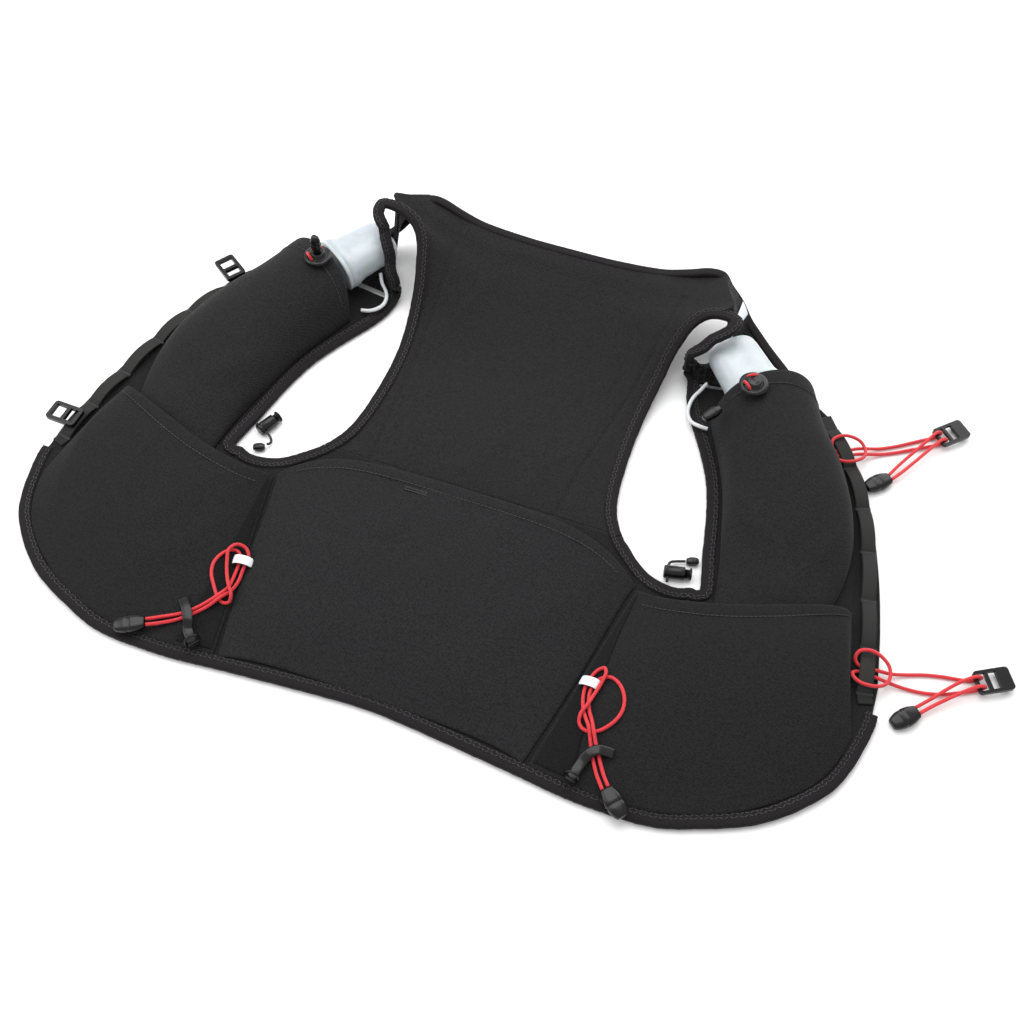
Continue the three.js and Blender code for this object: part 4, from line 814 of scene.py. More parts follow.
class VEST_OT_materials(bpy.types.Operator):
    """Makes the materials of the cloth, tapes, cords and hardware."""

    bl_idname = "vest.materials"
    bl_label = "Materials"

    def execute(self, context):
        size = context.scene.vest
        cloth = weave_group("weave_by_place", "Object")
        tape = weave_group("weave_by_length", "UV")
        cells = cell_group("spacer_cells")
        scuffs = wear_group("scuffs")
        dark, light = tuple(size.cloth_dark), tuple(size.cloth_light)
        red = tuple(size.cord_colour)
        soft = (("Sheen Weight", 0.05), ("Sheen Roughness", 0.4), ("Specular IOR Level", 0.2))
        for name, shade in CLOTHS:
            material(name, cloth, {"Across": 3100.0, "Along": 3100.0, "Depth": 0.00022, "Grain": 2.6},
                     tuple(c * shade for c in dark), tuple(c * shade for c in light), "Height", 0.9, soft)
        material("edge_binding", cloth, {"Across": 2600.0, "Along": 2600.0, "Depth": 0.00012, "Grain": 1.6},
                 (0.0058, 0.005, 0.0056), (0.0125, 0.0108, 0.012), "Height", 0.85, soft)
        material("strap_mesh", cells, {"Cells": 240.0, "Depth": 0.0013, "Wall Width": 0.2},
                 (0.002, 0.002, 0.002), (0.017, 0.017, 0.0165), "Wall", 0.75, (("Specular IOR Level", 0.3),))
        material("webbing_tape", tape, {"Across": 6000.0, "Along": 3600.0, "Depth": 0.0002},
                 (0.0048, 0.0047, 0.0046), (0.024, 0.0235, 0.023), "Height", 0.62, soft)
        material("thread", cloth, {"Across": 9000.0, "Along": 9000.0, "Depth": 0.00003},
                 (0.012, 0.0115, 0.0122), (0.034, 0.033, 0.035), "Height", 0.55)
        material("red_cord", tape, {"Across": 44.0, "Along": 3.4, "Depth": 0.00022, "Fuzz": 0.15},
                 tuple(c * 0.55 for c in red), red, "Height", 0.5, (("Sheen Weight", 0.15),))
        material("black_cord", tape, {"Across": 40.0, "Along": 3.8, "Depth": 0.0002},
                 (0.006, 0.006, 0.006), (0.02, 0.02, 0.02), "Height", 0.6)
        material("pale_elastic", tape, {"Across": 50.0, "Along": 3.0, "Depth": 0.0002},
                 (0.5, 0.52, 0.54), (0.82, 0.84, 0.85), "Height", 0.45)
        material("reflective_tape", scuffs, {"Scale": 900.0, "Depth": 0.00004},
                 (0.62, 0.66, 0.7), (0.88, 0.9, 0.92), "Tone", 0.32, (("Specular IOR Level", 0.7),))
        material("black_plastic", scuffs, {"Scale": 420.0, "Depth": 0.00005},
                 (0.003, 0.003, 0.003), (0.007, 0.007, 0.0073), "Tone", 0.26, (("Specular IOR Level", 0.32),))
        film = (("Subsurface Weight", 0.35), ("Subsurface Scale", 0.006), ("Coat Weight", 0.2))
        material("cap_film", scuffs, {"Scale": 120.0, "Depth": 0.00008},
                 (0.4, 0.44, 0.47), (0.54, 0.59, 0.62), "Tone", 0.3, film)
        material("flask_film", scuffs, {"Scale": 80.0, "Depth": 0.0001},
                 (0.6, 0.66, 0.7), (0.74, 0.8, 0.84), "Tone", 0.2, film)
        return {"FINISHED"}


# Cloth


def creases(point, height):
    """Soft creases of cloth at a place in metres, up to about the height given, in the same unit."""
    slow = noise.fractal(Vector((point.x * 9, point.y * 9, 3.1)), 0.6, 2.2, 3)
    ridge = 1 - abs(noise.noise(Vector((point.x * 14 + 5, point.y * 7, 9.4))))
    return height * (0.55 * slow + 0.6 * (ridge ** 6 - 0.3))


def seam_dip(point, lines, width, depth):
    """Depth of a sewn seam at a point of the plan in metres: deepest on its line."""
    low = 0.0
    for a, b in lines:
        run = b - a
        t = max(0, min(1, (point - a).dot(run) / run.length_squared))
        away = (point - (a + run * t)).length / width
        low = max(low, math.exp(-away * away))
    return depth * low


# The two seams down the yoke, in millimetres across and up the back.
YOKE_SEAMS = (
    [(-92, 425), (-90, 390), (-88, 340), (-85, 280), (-82, 222), (-80, 197)],
    [(102, 410), (91, 350), (80, 292), (72, 250), (67, 199)],
)


def inset(start, towards, distance):
    """The start moved a distance towards another point."""
    return start + (towards - start).normalized() * distance


def ridge(side, share):
    """The shoulder fold's line, from the armhole to the neck corner."""
    corner = on_vest(NECK_CORNER["x"], NECK_CORNER["y"], NECK_CORNER_RISE, side)
    return shoulder_point(YOKE[-1], side).lerp(corner, share)


def yoke_place():
    """The yoke, u across it, v from the lower band up to the neck and the shoulder folds."""

    def edge_line(side):
        points = [shoulder_point(row, side) for row in YOKE]
        return Line(points + [ridge(side, 0.5), ridge(side, RIDGE_END)], spaced=False)

    trim = NECK_INSET / BACK_LENGTH
    mids = [on_vest(0, row["midY"], row["midRise"] * NECK_RISE) for row in YOKE]
    mids += [on_vest(0, 0.965 - trim, 0.92 * NECK_RISE), on_vest(0, NECK_MID - trim, NECK_RISE)]
    middle = Line(mids, spaced=False)
    edges = {side: edge_line(side) for _name, side in SIDES}
    crown = (len(YOKE) - 1) / (len(YOKE) + 1)

    def place(u, v, w):
        across = u * 2 - 1
        mid = middle.at(v)
        past = max(0, min(1, (v - crown + 0.06) / 0.1))
        inner = inset(edges[-1 if across < 0 else 1].at(v), mid, BINDING_INSET - 7 * past)
        pull = abs(across) ** 3
        y = mid.y + (inner.y - mid.y) * pull
        z = mid.z + (inner.z - mid.z) * pull
        return Vector((abs(across) * inner.x, y, max(0, z) + w * BACK_CLOTH))

    return place


def band_place():
    """The lower band, u from wing tip to wing tip, v from the hem up."""
    hem, top, out = (column(HEM, name) for name in ("hem", "top", "x"))

    def place(u, v, w):
        across = u * 2 - 1
        t = abs(across)
        x = out(t) * HALF_WIDTH - BINDING_INSET * max(0, t - 0.8) * 5
        foot = hem(t) * BACK_LENGTH + BINDING_INSET
        head = top(t) * BACK_LENGTH + 0.4
        return Vector((math.copysign(x, across), foot + (head - foot) * v, w * BACK_CLOTH))

    return place


def ruled(inner, outer, side, u, v):
    """A point of the straight line across two edge lines, and the direction square to the cloth."""
    a, b = inner.at(v), outer.at(v)
    normal = (b - a).cross(inner.run(v) + outer.run(v)).normalized()
    return a.lerp(b, u), normal * side


def front_place(side):
    """A front panel, u from the armhole to the outer edge, v up to the shoulder."""
    outer = [on_vest(r["outX"], r["outY"], 0, side) for r in FRONT]
    inner = [inset(on_vest(r["x"], r["y"], 0, side), b, BINDING_INSET) for r, b in zip(FRONT, outer)]
    lines = Line(inner, spaced=False), Line(outer, spaced=False)

    def place(u, v, w):
        point, normal = ruled(*lines, side, u, v)
        return point + normal * (w * BACK_CLOTH)

    return place


def cap_frame(side):
    """The middle of the cap's foot, the way the cap points, and the level way across it."""
    spot = CAPS[side]
    base = on_vest(spot["x"], spot["y"], spot["z"], side)
    axis = (on_vest(spot["aimX"], spot["aimY"], spot["aimZ"], side) - base).normalized()
    return base, axis, Vector((-axis.y, axis.x, 0)).normalized()


def pressed(side, point):
    """How far a point of the strap is pushed down by the cap that lies on it."""
    base, axis, across = cap_frame(side)
    flat = Vector((axis.x, axis.y, 0)).normalized()
    away = point - base
    along = away.dot(flat)
    off = abs(2 * away.dot(across) / (CAP_WIDTH + 8))
    fade = max(0, min(1, (1.4 - off) / 0.4)) * max(0, min(1, (68 - along) / 13))
    under = base.z + along * (axis.z / math.hypot(axis.x, axis.y))
    room = CAP_BED * math.sqrt(max(0, 1 - off * off))
    return max(0, point.z - (under - room)) * fade * fade * (3 - 2 * fade)


def strap_place(side):
    """The shoulder strap, u from the armhole to the neck edge, v up to the fold, w through the cloth."""
    inner, outer = [], []
    for row in STRAP:
        a, b = shoulder_point(row, side), strap_edge(row, side)
        inner.append(inset(a, b, STRAP_INSET))
        outer.append(inset(b, a, NECK_INSET))
    inner.append(inset(ridge(side, 0), ridge(side, 1), BINDING_INSET))
    outer.append(ridge(side, RIDGE_END))
    sag = column(STRAP, "sag")
    ends = len(STRAP) / (len(STRAP) - 1)
    lines = Line(inner, spaced=False), Line(outer, spaced=False)

    def place(u, v, w):
        point, normal = ruled(*lines, side, u, v)
        height = w * BACK_CLOTH
        point += normal * height
        point.z -= sag(min(1, v * ends)) * STRAP_SAG * 4 * u * (1 - u)
        point.z = max(height, point.z - pressed(side, point + normal * (BACK_CLOTH - height)))
        return point

    return place


def dressed_panel(name, cells, place, height, seams=()):
    """A padded panel with soft creases and its seams pressed in."""
    lines = []
    for points in seams:
        flat = [metres((x, y, 0)).to_2d() for x, y in points]
        lines += list(zip(flat, flat[1:]))

    def at(u, v, w):
        point = place(u, v, w)
        here = metres(point)
        move = creases(here, height) / MM
        if lines:
            move -= seam_dip(here.to_2d(), lines, 0.0016, 0.0012) / MM
        calm = min(1, min(u, 1 - u, v, 1 - v) * 12)
        if w or point.z > 3:
            point.z = max(w * BACK_CLOTH * 0.6, point.z + move * (calm if move > 0 else 1))
        return point

    return sheet(name, *cells, at)


class VEST_OT_panels(bpy.types.Operator):
    """Makes the yoke, the lower band, the front panels and the mesh straps."""

    bl_idname = "vest.panels"
    bl_label = "Panels"

    def execute(self, context):
        size = context.scene.vest
        yoke = dressed_panel("back_yoke_cloth", (150, 150), yoke_place(), size.crease * 2.2, YOKE_SEAMS)
        stands_for(yoke, "back_yoke", "outer_cloth")
        band = dressed_panel("lower_band_cloth", (330, 70), band_place(), size.crease * 0.6)
        stands_for(band, "lower_band", "lower_cloth")
        for name, side in SIDES:
            height = size.crease * 0.6
            front = dressed_panel(name + "_front_panel_cloth", (70, 120), front_place(side), height)
            stands_for(front, name + "_front_panel", "lower_cloth")
            strap = dressed_panel(name + "_shoulder_strap_cloth", (60, 110), strap_place(side), size.crease)
            strap = smoothed(strap, 14)
            stands_for(strap, name + "_shoulder_strap", "strap_mesh")
        return {"FINISHED"}


def pocket_edge(v, start=MOUTH_SEAM):
    """Extra thickness of the folded hem at a pocket's mouth, 0 to 1."""
    t = max(0.0, min(1.0, (v - start) / 0.012))
    return t * t * (3 - 2 * t)


def back_pocket(u, v, w):
    """The back pocket, u across it, v from its foot at the hem to its mouth."""
    across = u * 2 - 1
    bow = abs(across) ** 4.6
    y = (BACK["mid"](v) * (1 - bow) + BACK["side"](v) * bow) * BACK_LENGTH
    stand = BACK["loft"](v) * BACK_SWELL * (1 - across ** 4) + max(0, v - 0.88) * 8 * (1 - across ** 6)
    y -= 3.4 * (1 - v) ** 8
    return Vector((across * BACK["x"](v) * HALF_WIDTH, y, ON_CLOTH + stand + w * POCKET_CLOTH))


BACK = {name: column(BACK_POCKET, name) for name in ("x", "side", "mid", "loft")}
SWELL = column(SIDE_LOFT, "loft")


def side_pocket(side):
    """A side pocket, v from its foot along the hem to its mouth."""
    foot = Line([on_vest(r["footX"], r["footY"], 0, side) for r in SIDE_POCKET], spaced=False)
    mouth = Line([on_vest(r["mouthX"], r["mouthY"], 0, side) for r in SIDE_POCKET], spaced=False)

    def place(u, v, w):
        a, b = foot.at(u), mouth.at(u)
        point = a.lerp(b, v) - (b - a).normalized() * (3.2 * (1 - v) ** 8)
        arch = 1 - abs(u * 2 - 1) ** 3
        point.z = ON_CLOTH + SWELL(v) * arch * SIDE_SWELL + w * POCKET_CLOTH
        return point

    return place


def painted_shade_place(side):
    """A darker sheet of painted shade along a side pocket's edge towards the back pocket, wider to the hem."""
    pocket = side_pocket(side)
    turned = abs(pocket(0, 0.5, 0).x) > abs(pocket(1, 0.5, 0).x)

    def place(u, v, w):
        share = 0.008 + u * (0.012 + 0.105 * (1 - v) ** 1.1)
        point = pocket(1 - share if turned else share, 0.02 + v * 0.95, 1)
        point.z += 0.35 + 0.5 * w
        return point

    return place


def flask_pocket(side):
    """A flask pocket, arched over its flask, v from its foot to its mouth."""
    inner = Line([on_vest(r["inX"], r["inY"], 0, side) for r in FLASK_POCKET], spaced=False)
    outer = Line([on_vest(r["outX"], r["outY"], 0, side) for r in FLASK_POCKET], spaced=False)
    loft = column(FLASK_POCKET, "loft")

    def place(u, v, w):
        margin = POCKET_CLOTH * (1 - w)
        a, b = inner.at(v), outer.at(v)
        run = (b - a).normalized()
        a, b = a + run * margin, b - run * margin
        turn = math.pi * u
        point = a.lerp(b, (1 - math.cos(turn)) / 2)
        point.y += 0.035 * BACK_LENGTH * math.sin(turn) * v ** 4
        point.z = ON_CLOTH + (loft(v) * FLASK_SWELL - margin) * math.sin(turn) ** 0.7
        return point

    return place


def dressed_pocket(name, cells, place, size, folds, fold_depth):
    """A pocket sheet with creases, long soft folds and a thicker sewn hem at its mouth."""

    def at(u, v, w):
        point = place(u, v, w)
        here = metres(point)
        edge = min(u, 1 - u, v * 1.5) * 6
        calm = max(0.0, min(1.0, edge))
        lift = creases(here, size.crease * 1.4) / MM * calm
        for fold_u, fold_v, wide, turn in folds:
            du, dv = u - fold_u, v - fold_v
            off = (du * math.cos(turn) + dv * math.sin(turn)) / wide
            along = (-du * math.sin(turn) + dv * math.cos(turn)) / 0.35
            lift += fold_depth * math.exp(-off * off - along * along) * calm
        point.z += lift + w * 0.5 * pocket_edge(v) * (1 - pocket_edge(v, 0.985)) * calm
        point.z = max(point.z, ON_CLOTH + w * POCKET_CLOTH)
        return point

    return sheet(name, *cells, at)


class VEST_OT_pockets(bpy.types.Operator):
    """Makes the back pocket, the side pockets and the flask pockets."""

    bl_idname = "vest.pockets"
    bl_label = "Pockets"

    def execute(self, context):
        size = context.scene.vest
        back_folds = ((0.2, 0.5, 0.04, 0.25), (0.8, 0.45, 0.05, -0.3), (0.5, 0.75, 0.06, 0.1))
        side_folds = ((0.15, 0.6, 0.05, 0.5), (0.85, 0.55, 0.05, -0.4))
        flask_folds = ((0.3, 0.35, 0.05, 0.9), (0.7, 0.3, 0.06, -0.8), (0.5, 0.15, 0.05, 1.4))
        back = dressed_pocket("back_pocket_cloth", (150, 90), back_pocket, size, back_folds, 0.9)
        stands_for(back, "back_pocket", "outer_cloth")
        for name, side in SIDES:
            place = side_pocket(side)
            pocket = dressed_pocket(name + "_side_pocket_cloth", (130, 90), place, size, side_folds, 0.8)
            stands_for(pocket, name + "_side_pocket", "side_cloth")
            # A darker sheet of painted shade along the side pocket's edge towards the back pocket.
            painted_shade = sheet(name + "_gusset_cloth", 14, 90, painted_shade_place(side))
            rides(painted_shade, "painted_shade_cloth")
            place = flask_pocket(side)
            flask = dressed_pocket(name + "_flask_pocket_cloth", (110, 110), place, size, flask_folds, 1.1)
            stands_for(flask, name + "_flask_pocket", "outer_cloth")
        return {"FINISHED"}


class VEST_OT_bindings(bpy.types.Operator):
    """Makes the hem, armhole and neck bindings."""

    bl_idname = "vest.bindings"
    bl_label = "Bindings"

    def execute(self, context):
        size = context.scene.vest
        wide, thick = size.binding_width / MM, size.binding_thick / MM
        pucker = lambda t, n: 1 + 0.035 * math.sin(t * n) * math.sin(t * n * 0.37)

        def section(n):
            shape = oval(wide * 1.04, thick * 0.86, 3.6)

            def at(t, a):
                x, z = shape(t, a)
                return x * pucker(t, n * 0.6), z * pucker(t, n)

            return at

        hem = rod("hem_binding_tape", hem_line(size), 420, 20, section(900))
        stands_for(hem, "hem_binding", "edge_binding")
        for name, side in SIDES:
            line = armhole_middle(size, side)
            tape = rod(name + "_armhole_binding_tape", line, 460, 20, section(1000), 0.0005, 0.9995)
            stands_for(tape, name + "_armhole_binding", "edge_binding")
        neck = rod("neck_binding_tape", neck_line(size), 300, 18,
                   oval(size.neck_width / MM * 1.1, size.neck_thick / MM * 0.9, 3.4))
        stands_for(neck, "neck_binding", "edge_binding")
        return {"FINISHED"}


# Stitches


def stitch_tree():
    """Geometry nodes that lay short threads along a curve, turned to and fro by Zigzag."""
    tree = bpy.data.node_groups.new("stitch_row", "GeometryNodeTree")
    tree.interface.new_socket(name="Line", in_out="INPUT", socket_type="NodeSocketGeometry")
    for label in ("Pitch", "Stitch", "Thread", "Zigzag"):
        tree.interface.new_socket(name=label, in_out="INPUT", socket_type="NodeSocketFloat")
    tree.interface.new_socket(name="Material", in_out="INPUT", socket_type="NodeSocketMaterial")
    tree.interface.new_socket(name="Mesh", in_out="OUTPUT", socket_type="NodeSocketGeometry")
    nodes, links = tree.nodes, tree.links
    source, sink = nodes.new("NodeGroupInput"), nodes.new("NodeGroupOutput")
    resample = nodes.new("GeometryNodeResampleCurve")
    resample.mode = "LENGTH"
    curve = nodes.new("GeometryNodeMeshToCurve")
    links.new(source.outputs["Line"], curve.inputs["Mesh"])
    links.new(curve.outputs[0], resample.inputs["Curve"])
    links.new(source.outputs["Pitch"], resample.inputs["Length"])
    thread = nodes.new("GeometryNodeMeshCylinder")
    thread.inputs["Vertices"].default_value = 6
    thread.inputs["Side Segments"].default_value = 3
    thread.fill_type = "TRIANGLE_FAN"
    links.new(math_node(nodes, links, "MULTIPLY", source.outputs["Thread"], 0.5), thread.inputs["Radius"])
    links.new(source.outputs["Stitch"], thread.inputs["Depth"])
    tangent = nodes.new("GeometryNodeInputTangent")
    align = nodes.new("FunctionNodeAlignEulerToVector")
    align.axis = "Z"
    links.new(tangent.outputs[0], align.inputs["Vector"])
    index = nodes.new("GeometryNodeInputIndex")
    even = math_node(nodes, links, "PINGPONG", index.outputs[0], 1.0)
    swing = math_node(nodes, links, "SUBTRACT", even, 0.5)
    angle = math_node(nodes, links, "MULTIPLY", swing, source.outputs["Zigzag"])
    turn = nodes.new("FunctionNodeRotateEuler")
    turn.space = "OBJECT"
    turn.rotation_type = "AXIS_ANGLE"
    turn.inputs["Axis"].default_value = (0, 0, 1)
    links.new(align.outputs[0], turn.inputs["Rotation"])
    links.new(angle, turn.inputs["Angle"])
    instance = nodes.new("GeometryNodeInstanceOnPoints")
    links.new(resample.outputs[0], instance.inputs["Points"])
    links.new(thread.outputs["Mesh"], instance.inputs["Instance"])
    links.new(turn.outputs[0], instance.inputs["Rotation"])
    real = nodes.new("GeometryNodeRealizeInstances")
    paint = nodes.new("GeometryNodeSetMaterial")
    links.new(instance.outputs[0], real.inputs[0])
    links.new(real.outputs[0], paint.inputs["Geometry"])
    links.new(source.outputs["Material"], paint.inputs["Material"])
    links.new(paint.outputs[0], sink.inputs[0])
    return tree


def stitches(name, points, size, zigzag=0.0, pitch=None):
    """A row of stitches along points in the tables' millimetres, as plain mesh."""
    line = bpy.data.meshes.new(name + "_line")
    line.from_pydata([metres(point) for point in points], [(k, k + 1) for k in range(len(points) - 1)], [])
    piece = bpy.data.objects.new(name, line)
    bpy.context.scene.collection.objects.link(piece)
    tree = bpy.data.node_groups.get("stitch_row") or stitch_tree()
    modifier = piece.modifiers.new("stitches", "NODES")
    modifier.node_group = tree
    keys = {item.name: item.identifier for item in tree.interface.items_tree if item.in_out == "INPUT"}
    modifier[keys["Pitch"]] = pitch or size.stitch_pitch
    modifier[keys["Stitch"]] = size.stitch_length
    modifier[keys["Thread"]] = size.thread
    modifier[keys["Zigzag"]] = zigzag
    modifier[keys["Material"]] = bpy.data.materials["thread"]
    return rides(applied(piece), "edge_binding")


def on_rod(line, count, offset, height, start=0.0, end=1.0):
    """Points along a rod, moved to its side and up on its surface."""
    points = []
    for k in range(count + 1):
        t = start + (end - start) * k / count
        side, up = line.across(t)
        points.append(line.at(t) + side * offset + up * height)
    return points


class VEST_OT_stitches(bpy.types.Operator):
    """Sews the rows of stitches along the bindings and the pocket mouths."""

    bl_idname = "vest.stitches"
    bl_label = "Stitches"

    def execute(self, context):
        size = context.scene.vest
        wide, thick = size.binding_width / MM, size.binding_thick / MM

        def double_row(name, line, count, side=1, start=0.0, end=1.0):
            for row, offset in (("inner", wide * 0.34), ("outer", wide * 0.12)):
                points = on_rod(line, count, side * offset, thick * 0.43, start, end)
                stitches(name + row, points, size, 0.9)

        double_row("hem_stitches_", hem_line(size), 500)
        for name, side in SIDES:
            double_row(name + "_armhole_stitches_", armhole_middle(size, side), 600, side, 0.002, 0.998)
            mouth = side_pocket(side)
            points = [mouth(k / 100, MOUTH_SEAM, 1) + Vector((0, 0, 0.35)) for k in range(8, 93)]
            stitches(name + "_side_pocket_stitches", points, size)
            mouth = flask_pocket(side)
            points = [mouth(k / 100, MOUTH_SEAM, 1) + Vector((0, 0, 0.5)) for k in range(10, 91)]
            stitches(name + "_flask_pocket_stitches", points, size)
        points = [back_pocket(k / 100, MOUTH_SEAM, 1) + Vector((0, 0, 0.35)) for k in range(5, 96)]
        stitches("back_pocket_stitches", points, size)
        for row, v in (("upper", 0.9), ("lower", 0.885)):
            points = [back_pocket(0.355 + k / 200, v, 1) + Vector((0, 0, 0.3)) for k in range(12)]
            stitches("back_pocket_tack_" + row, points, size, 0.9, 0.0012)
        return {"FINISHED"}


# Webbing and trims


def webbing_place(side):
    """The webbing down a front edge, raised in a low loop between two bar tacks."""
    spans = len(WEBBING) - 1
    line = Line([on_vest(r["x"], r["y"], 0, side) for r in WEBBING])

    def place(u, v, w):
        point = line.at(v) + line.across(v)[0] * ((u - 0.5) * WEBBING_WIDTH)
        arch = WEBBING[min(spans - 1, math.floor(spans * v))]["arch"]
        stand = WEBBING_STAND * arch * abs(math.sin(math.pi * spans * v)) ** 0.7
        point.z = ON_CLOTH + stand + w * WEBBING_CLOTH
        return point

    return place, line, spans


class VEST_OT_webbing(bpy.types.Operator):
    """Makes the webbing down each front edge, with its bar tacks."""

    bl_idname = "vest.webbing"
    bl_label = "Webbing"

    def execute(self, context):
        size = context.scene.vest
        for name, side in SIDES:
            place, line, spans = webbing_place(side)
            tape = sheet(name + "_webbing_tape", 8, spans * 24, place, (0.01, 0.24))
            stands_for(tape, name + "_front_webbing", "webbing_tape")
            for k in range(1, spans):
                v = k / spans
                run, across = line.run(v), line.across(v)[0]
                for letter, row in (("a", -0.9), ("b", 0), ("c", 0.9)):
                    middle = place(0.5, v, 1)
                    points = [middle + across * x + run * row + Vector((0, 0, 0.15)) for x in (-4.4, 4.4)]
                    stitches(f"{name}_bar_tack_{k}_{letter}", points, size, 0.5, 0.0013)
        return {"FINISHED"}


class VEST_OT_trims(bpy.types.Operator):
    """Makes the reflective bands, the tags, and the hooks and rings of the pole cords."""

    bl_idname = "vest.trims"
    bl_label = "Trims"

    def execute(self, context):
        for name, side in SIDES:
            at = strap_place(side)

            def band_at(u, v, w):
                point = at(0.05 + 0.9 * u, 0.75 + (v - 0.5) * 0.085, 1)
                return point + Vector((0, 0, 1 + w * 0.8))

            band = sheet(name + "_reflective_tape", 60, 6, band_at)
            stands_for(band, name + "_reflective_band", "reflective_tape")
            tag = node_copy(name + "_pole_tag", name + "_pole_tag_tape")
            stands_for(softened(tag, 2), name + "_pole_tag", "reflective_tape")
            line = Line(HOOK_ROUTES[name])
            strip = rod(name + "_pole_hook_strip", line, 90, 16, oval(7, 2, 3.4))
            stands_for(strip, name + "_pole_hook", "black_plastic")
            share = 5 / 6 if name == "left" else 1 / 7
            ring = ring_piece(name + "_pole_ring_wire", line.at(share), line.run(share), 5, 0.9)
            stands_for(ring, name + "_pole_ring", "black_plastic")
        return {"FINISHED"}


def smoothed(piece, rounds):
    """A piece whose sharp steps are eased."""
    ease = piece.modifiers.new("ease", "SMOOTH")
    ease.factor, ease.iterations = 0.5, rounds
    return applied(piece)


def softened(piece, levels):
    """A coarse piece rounded by subdivision."""
    weld = piece.modifiers.new("weld", "WELD")
    weld.merge_threshold = 0.00002
    soft = piece.modifiers.new("soft", "SUBSURF")
    soft.levels = soft.render_levels = levels
    applied(piece)
    piece.data.polygons.foreach_set("use_smooth", [True] * len(piece.data.polygons))
    return piece


def ring_piece(name, centre, facing, radius, wire):
    """A ring of round wire, square to facing."""
    turn = Vector((0, 0, 1)).rotation_difference(facing)
    verts, faces, uvs = [], [], []
    around, ring = 48, 12
    for k in range(around):
        a = 2 * math.pi * k / around
        for i in range(ring):
            b = 2 * math.pi * i / ring
            r = radius + wire * math.cos(b)
            verts.append(centre + turn @ Vector((r * math.cos(a), r * math.sin(a), wire * math.sin(b))))
            uvs.append((i / ring, k / around * 30))
    for k in range(around):
        for i in range(ring):
            a, b = k * ring + i, k * ring + (i + 1) % ring
            c, d = (k + 1) % around * ring + i, (k + 1) % around * ring + (i + 1) % ring
            faces.append((a, b, d, c))
    return finish_mesh(name, verts, faces, uvs)


# Flasks


def cap_place(side):
    """Places points given along, across and above a cap."""
    base, axis, across = cap_frame(side)
    up = axis.cross(across).normalized()
    return lambda along, y, z: base + axis * along + across * y + up * z


# The cap from its foot to its top: how far along, how wide, how thick, and its lift, in millimetres.
CAP_PROFILE = [
    (0, 44, 30, 0), (0, 47.4, 33.4, 0), (0.6, 48, 34, 0), (2.6, 48, 34, 0), (3.1, 46.6, 32.6, 0),
    (3.9, 46.6, 32.6, 0), (4.4, 48, 34, 0), (7.4, 47.6, 33.6, 0), (9, 47, 33, 0), (11, 45.6, 31.4, 0),
    (13, 44.2, 30, 0), (15.5, 43, 29, 0), (20, 42.4, 28.6, 0), (32, 41.4, 27.6, 0), (40, 40.6, 26.9, 0),
    (45, 39.2, 25.7, 0), (48, 36.8, 23.6, 0), (50.2, 33, 20.4, 0), (51, 29, 17, 0), (51, 22, 12, 0), (51, 8, 4, 0),
]


class VEST_OT_flasks(bpy.types.Operator):
    """Makes the soft flasks and their caps."""

    bl_idname = "vest.flasks"
    bl_label = "Flasks"

    def execute(self, context):
        for name, side in SIDES:
            cap = lofted(name + "_cap_cover", CAP_PROFILE, 72, cap_place(side), 2.5)
            stands_for(cap, name + "_flask_cap", "cap_film")
            body = node_copy(name + "_flask", name + "_flask_body")
            stands_for(softened(body, 2), name + "_flask", "flask_film")
        return {"FINISHED"}


# Hardware


def spot_place(name):
    """Places points given along, across and above a spot."""
    x, y, z, turn = SPOTS[name]
    base = on_vest(x, y, z)
    a = math.radians(turn)
    run, across = Vector((math.cos(a), math.sin(a), 0)), Vector((-math.sin(a), math.cos(a), 0))
    return lambda along, side, up: base + run * along + across * side + Vector((0, 0, up))


def end_profile(length, wide, thick):
    """A cord end: wide at its mouth, with a grip groove, narrowing to its tail."""
    shares = [
        (-0.5, 0.5), (-0.495, 0.6), (-0.47, 0.7), (-0.44, 0.74), (-0.4, 0.77), (-0.25, 0.94), (-0.1, 1),
        (0.02, 1), (0.04, 0.93), (0.07, 0.93), (0.09, 0.985), (0.2, 0.94), (0.3, 0.86), (0.4, 0.74),
        (0.46, 0.64), (0.49, 0.54), (0.5, 0.4),
    ]
    return [(-s * length, k * wide, k * thick, thick / 2) for s, k in shares]


def cord_end(name, length, wide, thick, place):
    """The moulded end that closes a cord."""
    return lofted(name + "_block", end_profile(length, wide, thick), 40, place, 2.9)


# Length, width and thickness of each cord end that lies flat, in millimetres.
CORD_ENDS = {
    "lower_chest_cord_end": (21, 13, 7.5),
    "upper_chest_cord_end": (21, 13, 7.5),
    "left_pole_cord_end": (21, 13, 7.5),
    "right_pole_cord_end": (21, 13, 7.5),
    "left_side_cord_end": (9, 6, 6),
    "right_side_cord_end": (9, 6, 6),
    "right_mouth_cord_end": (16, 8, 7),
}


# Round hardware: how far along its axis, and the radius there, in millimetres.
MOUTH_LOCK = [
    (0, 0.2), (0, 9.5), (0.2, 10.6), (0.7, 11), (1.7, 11), (2.2, 10.6), (2.6, 9.4), (2.9, 8.2),
    (2.5, 7.6), (2.9, 7), (3.6, 6.7), (5, 5.8), (5.7, 5.3), (6, 4.6), (5.4, 3.2), (5.2, 0.2),
]
SIDE_LOCK = [
    (0, 0.2), (0, 3.6), (0.3, 4.4), (0.9, 4.8), (2.2, 4.8), (2.5, 4.5), (2.9, 4.5), (3.2, 4.8),
    (14.3, 4.8), (14.8, 4.6), (15, 4.3), (15, 3.6), (6, 3.6), (6, 0.2),
]
SIDE_BUTTON = [
    (13, 0.2), (13, 3.3), (18.2, 3.3), (18.3, 3.7), (18.4, 4.3), (18.7, 4.6), (19.3, 4.6),
    (19.7, 4.3), (19.9, 3.7), (19.6, 2), (19.5, 0.2),
]


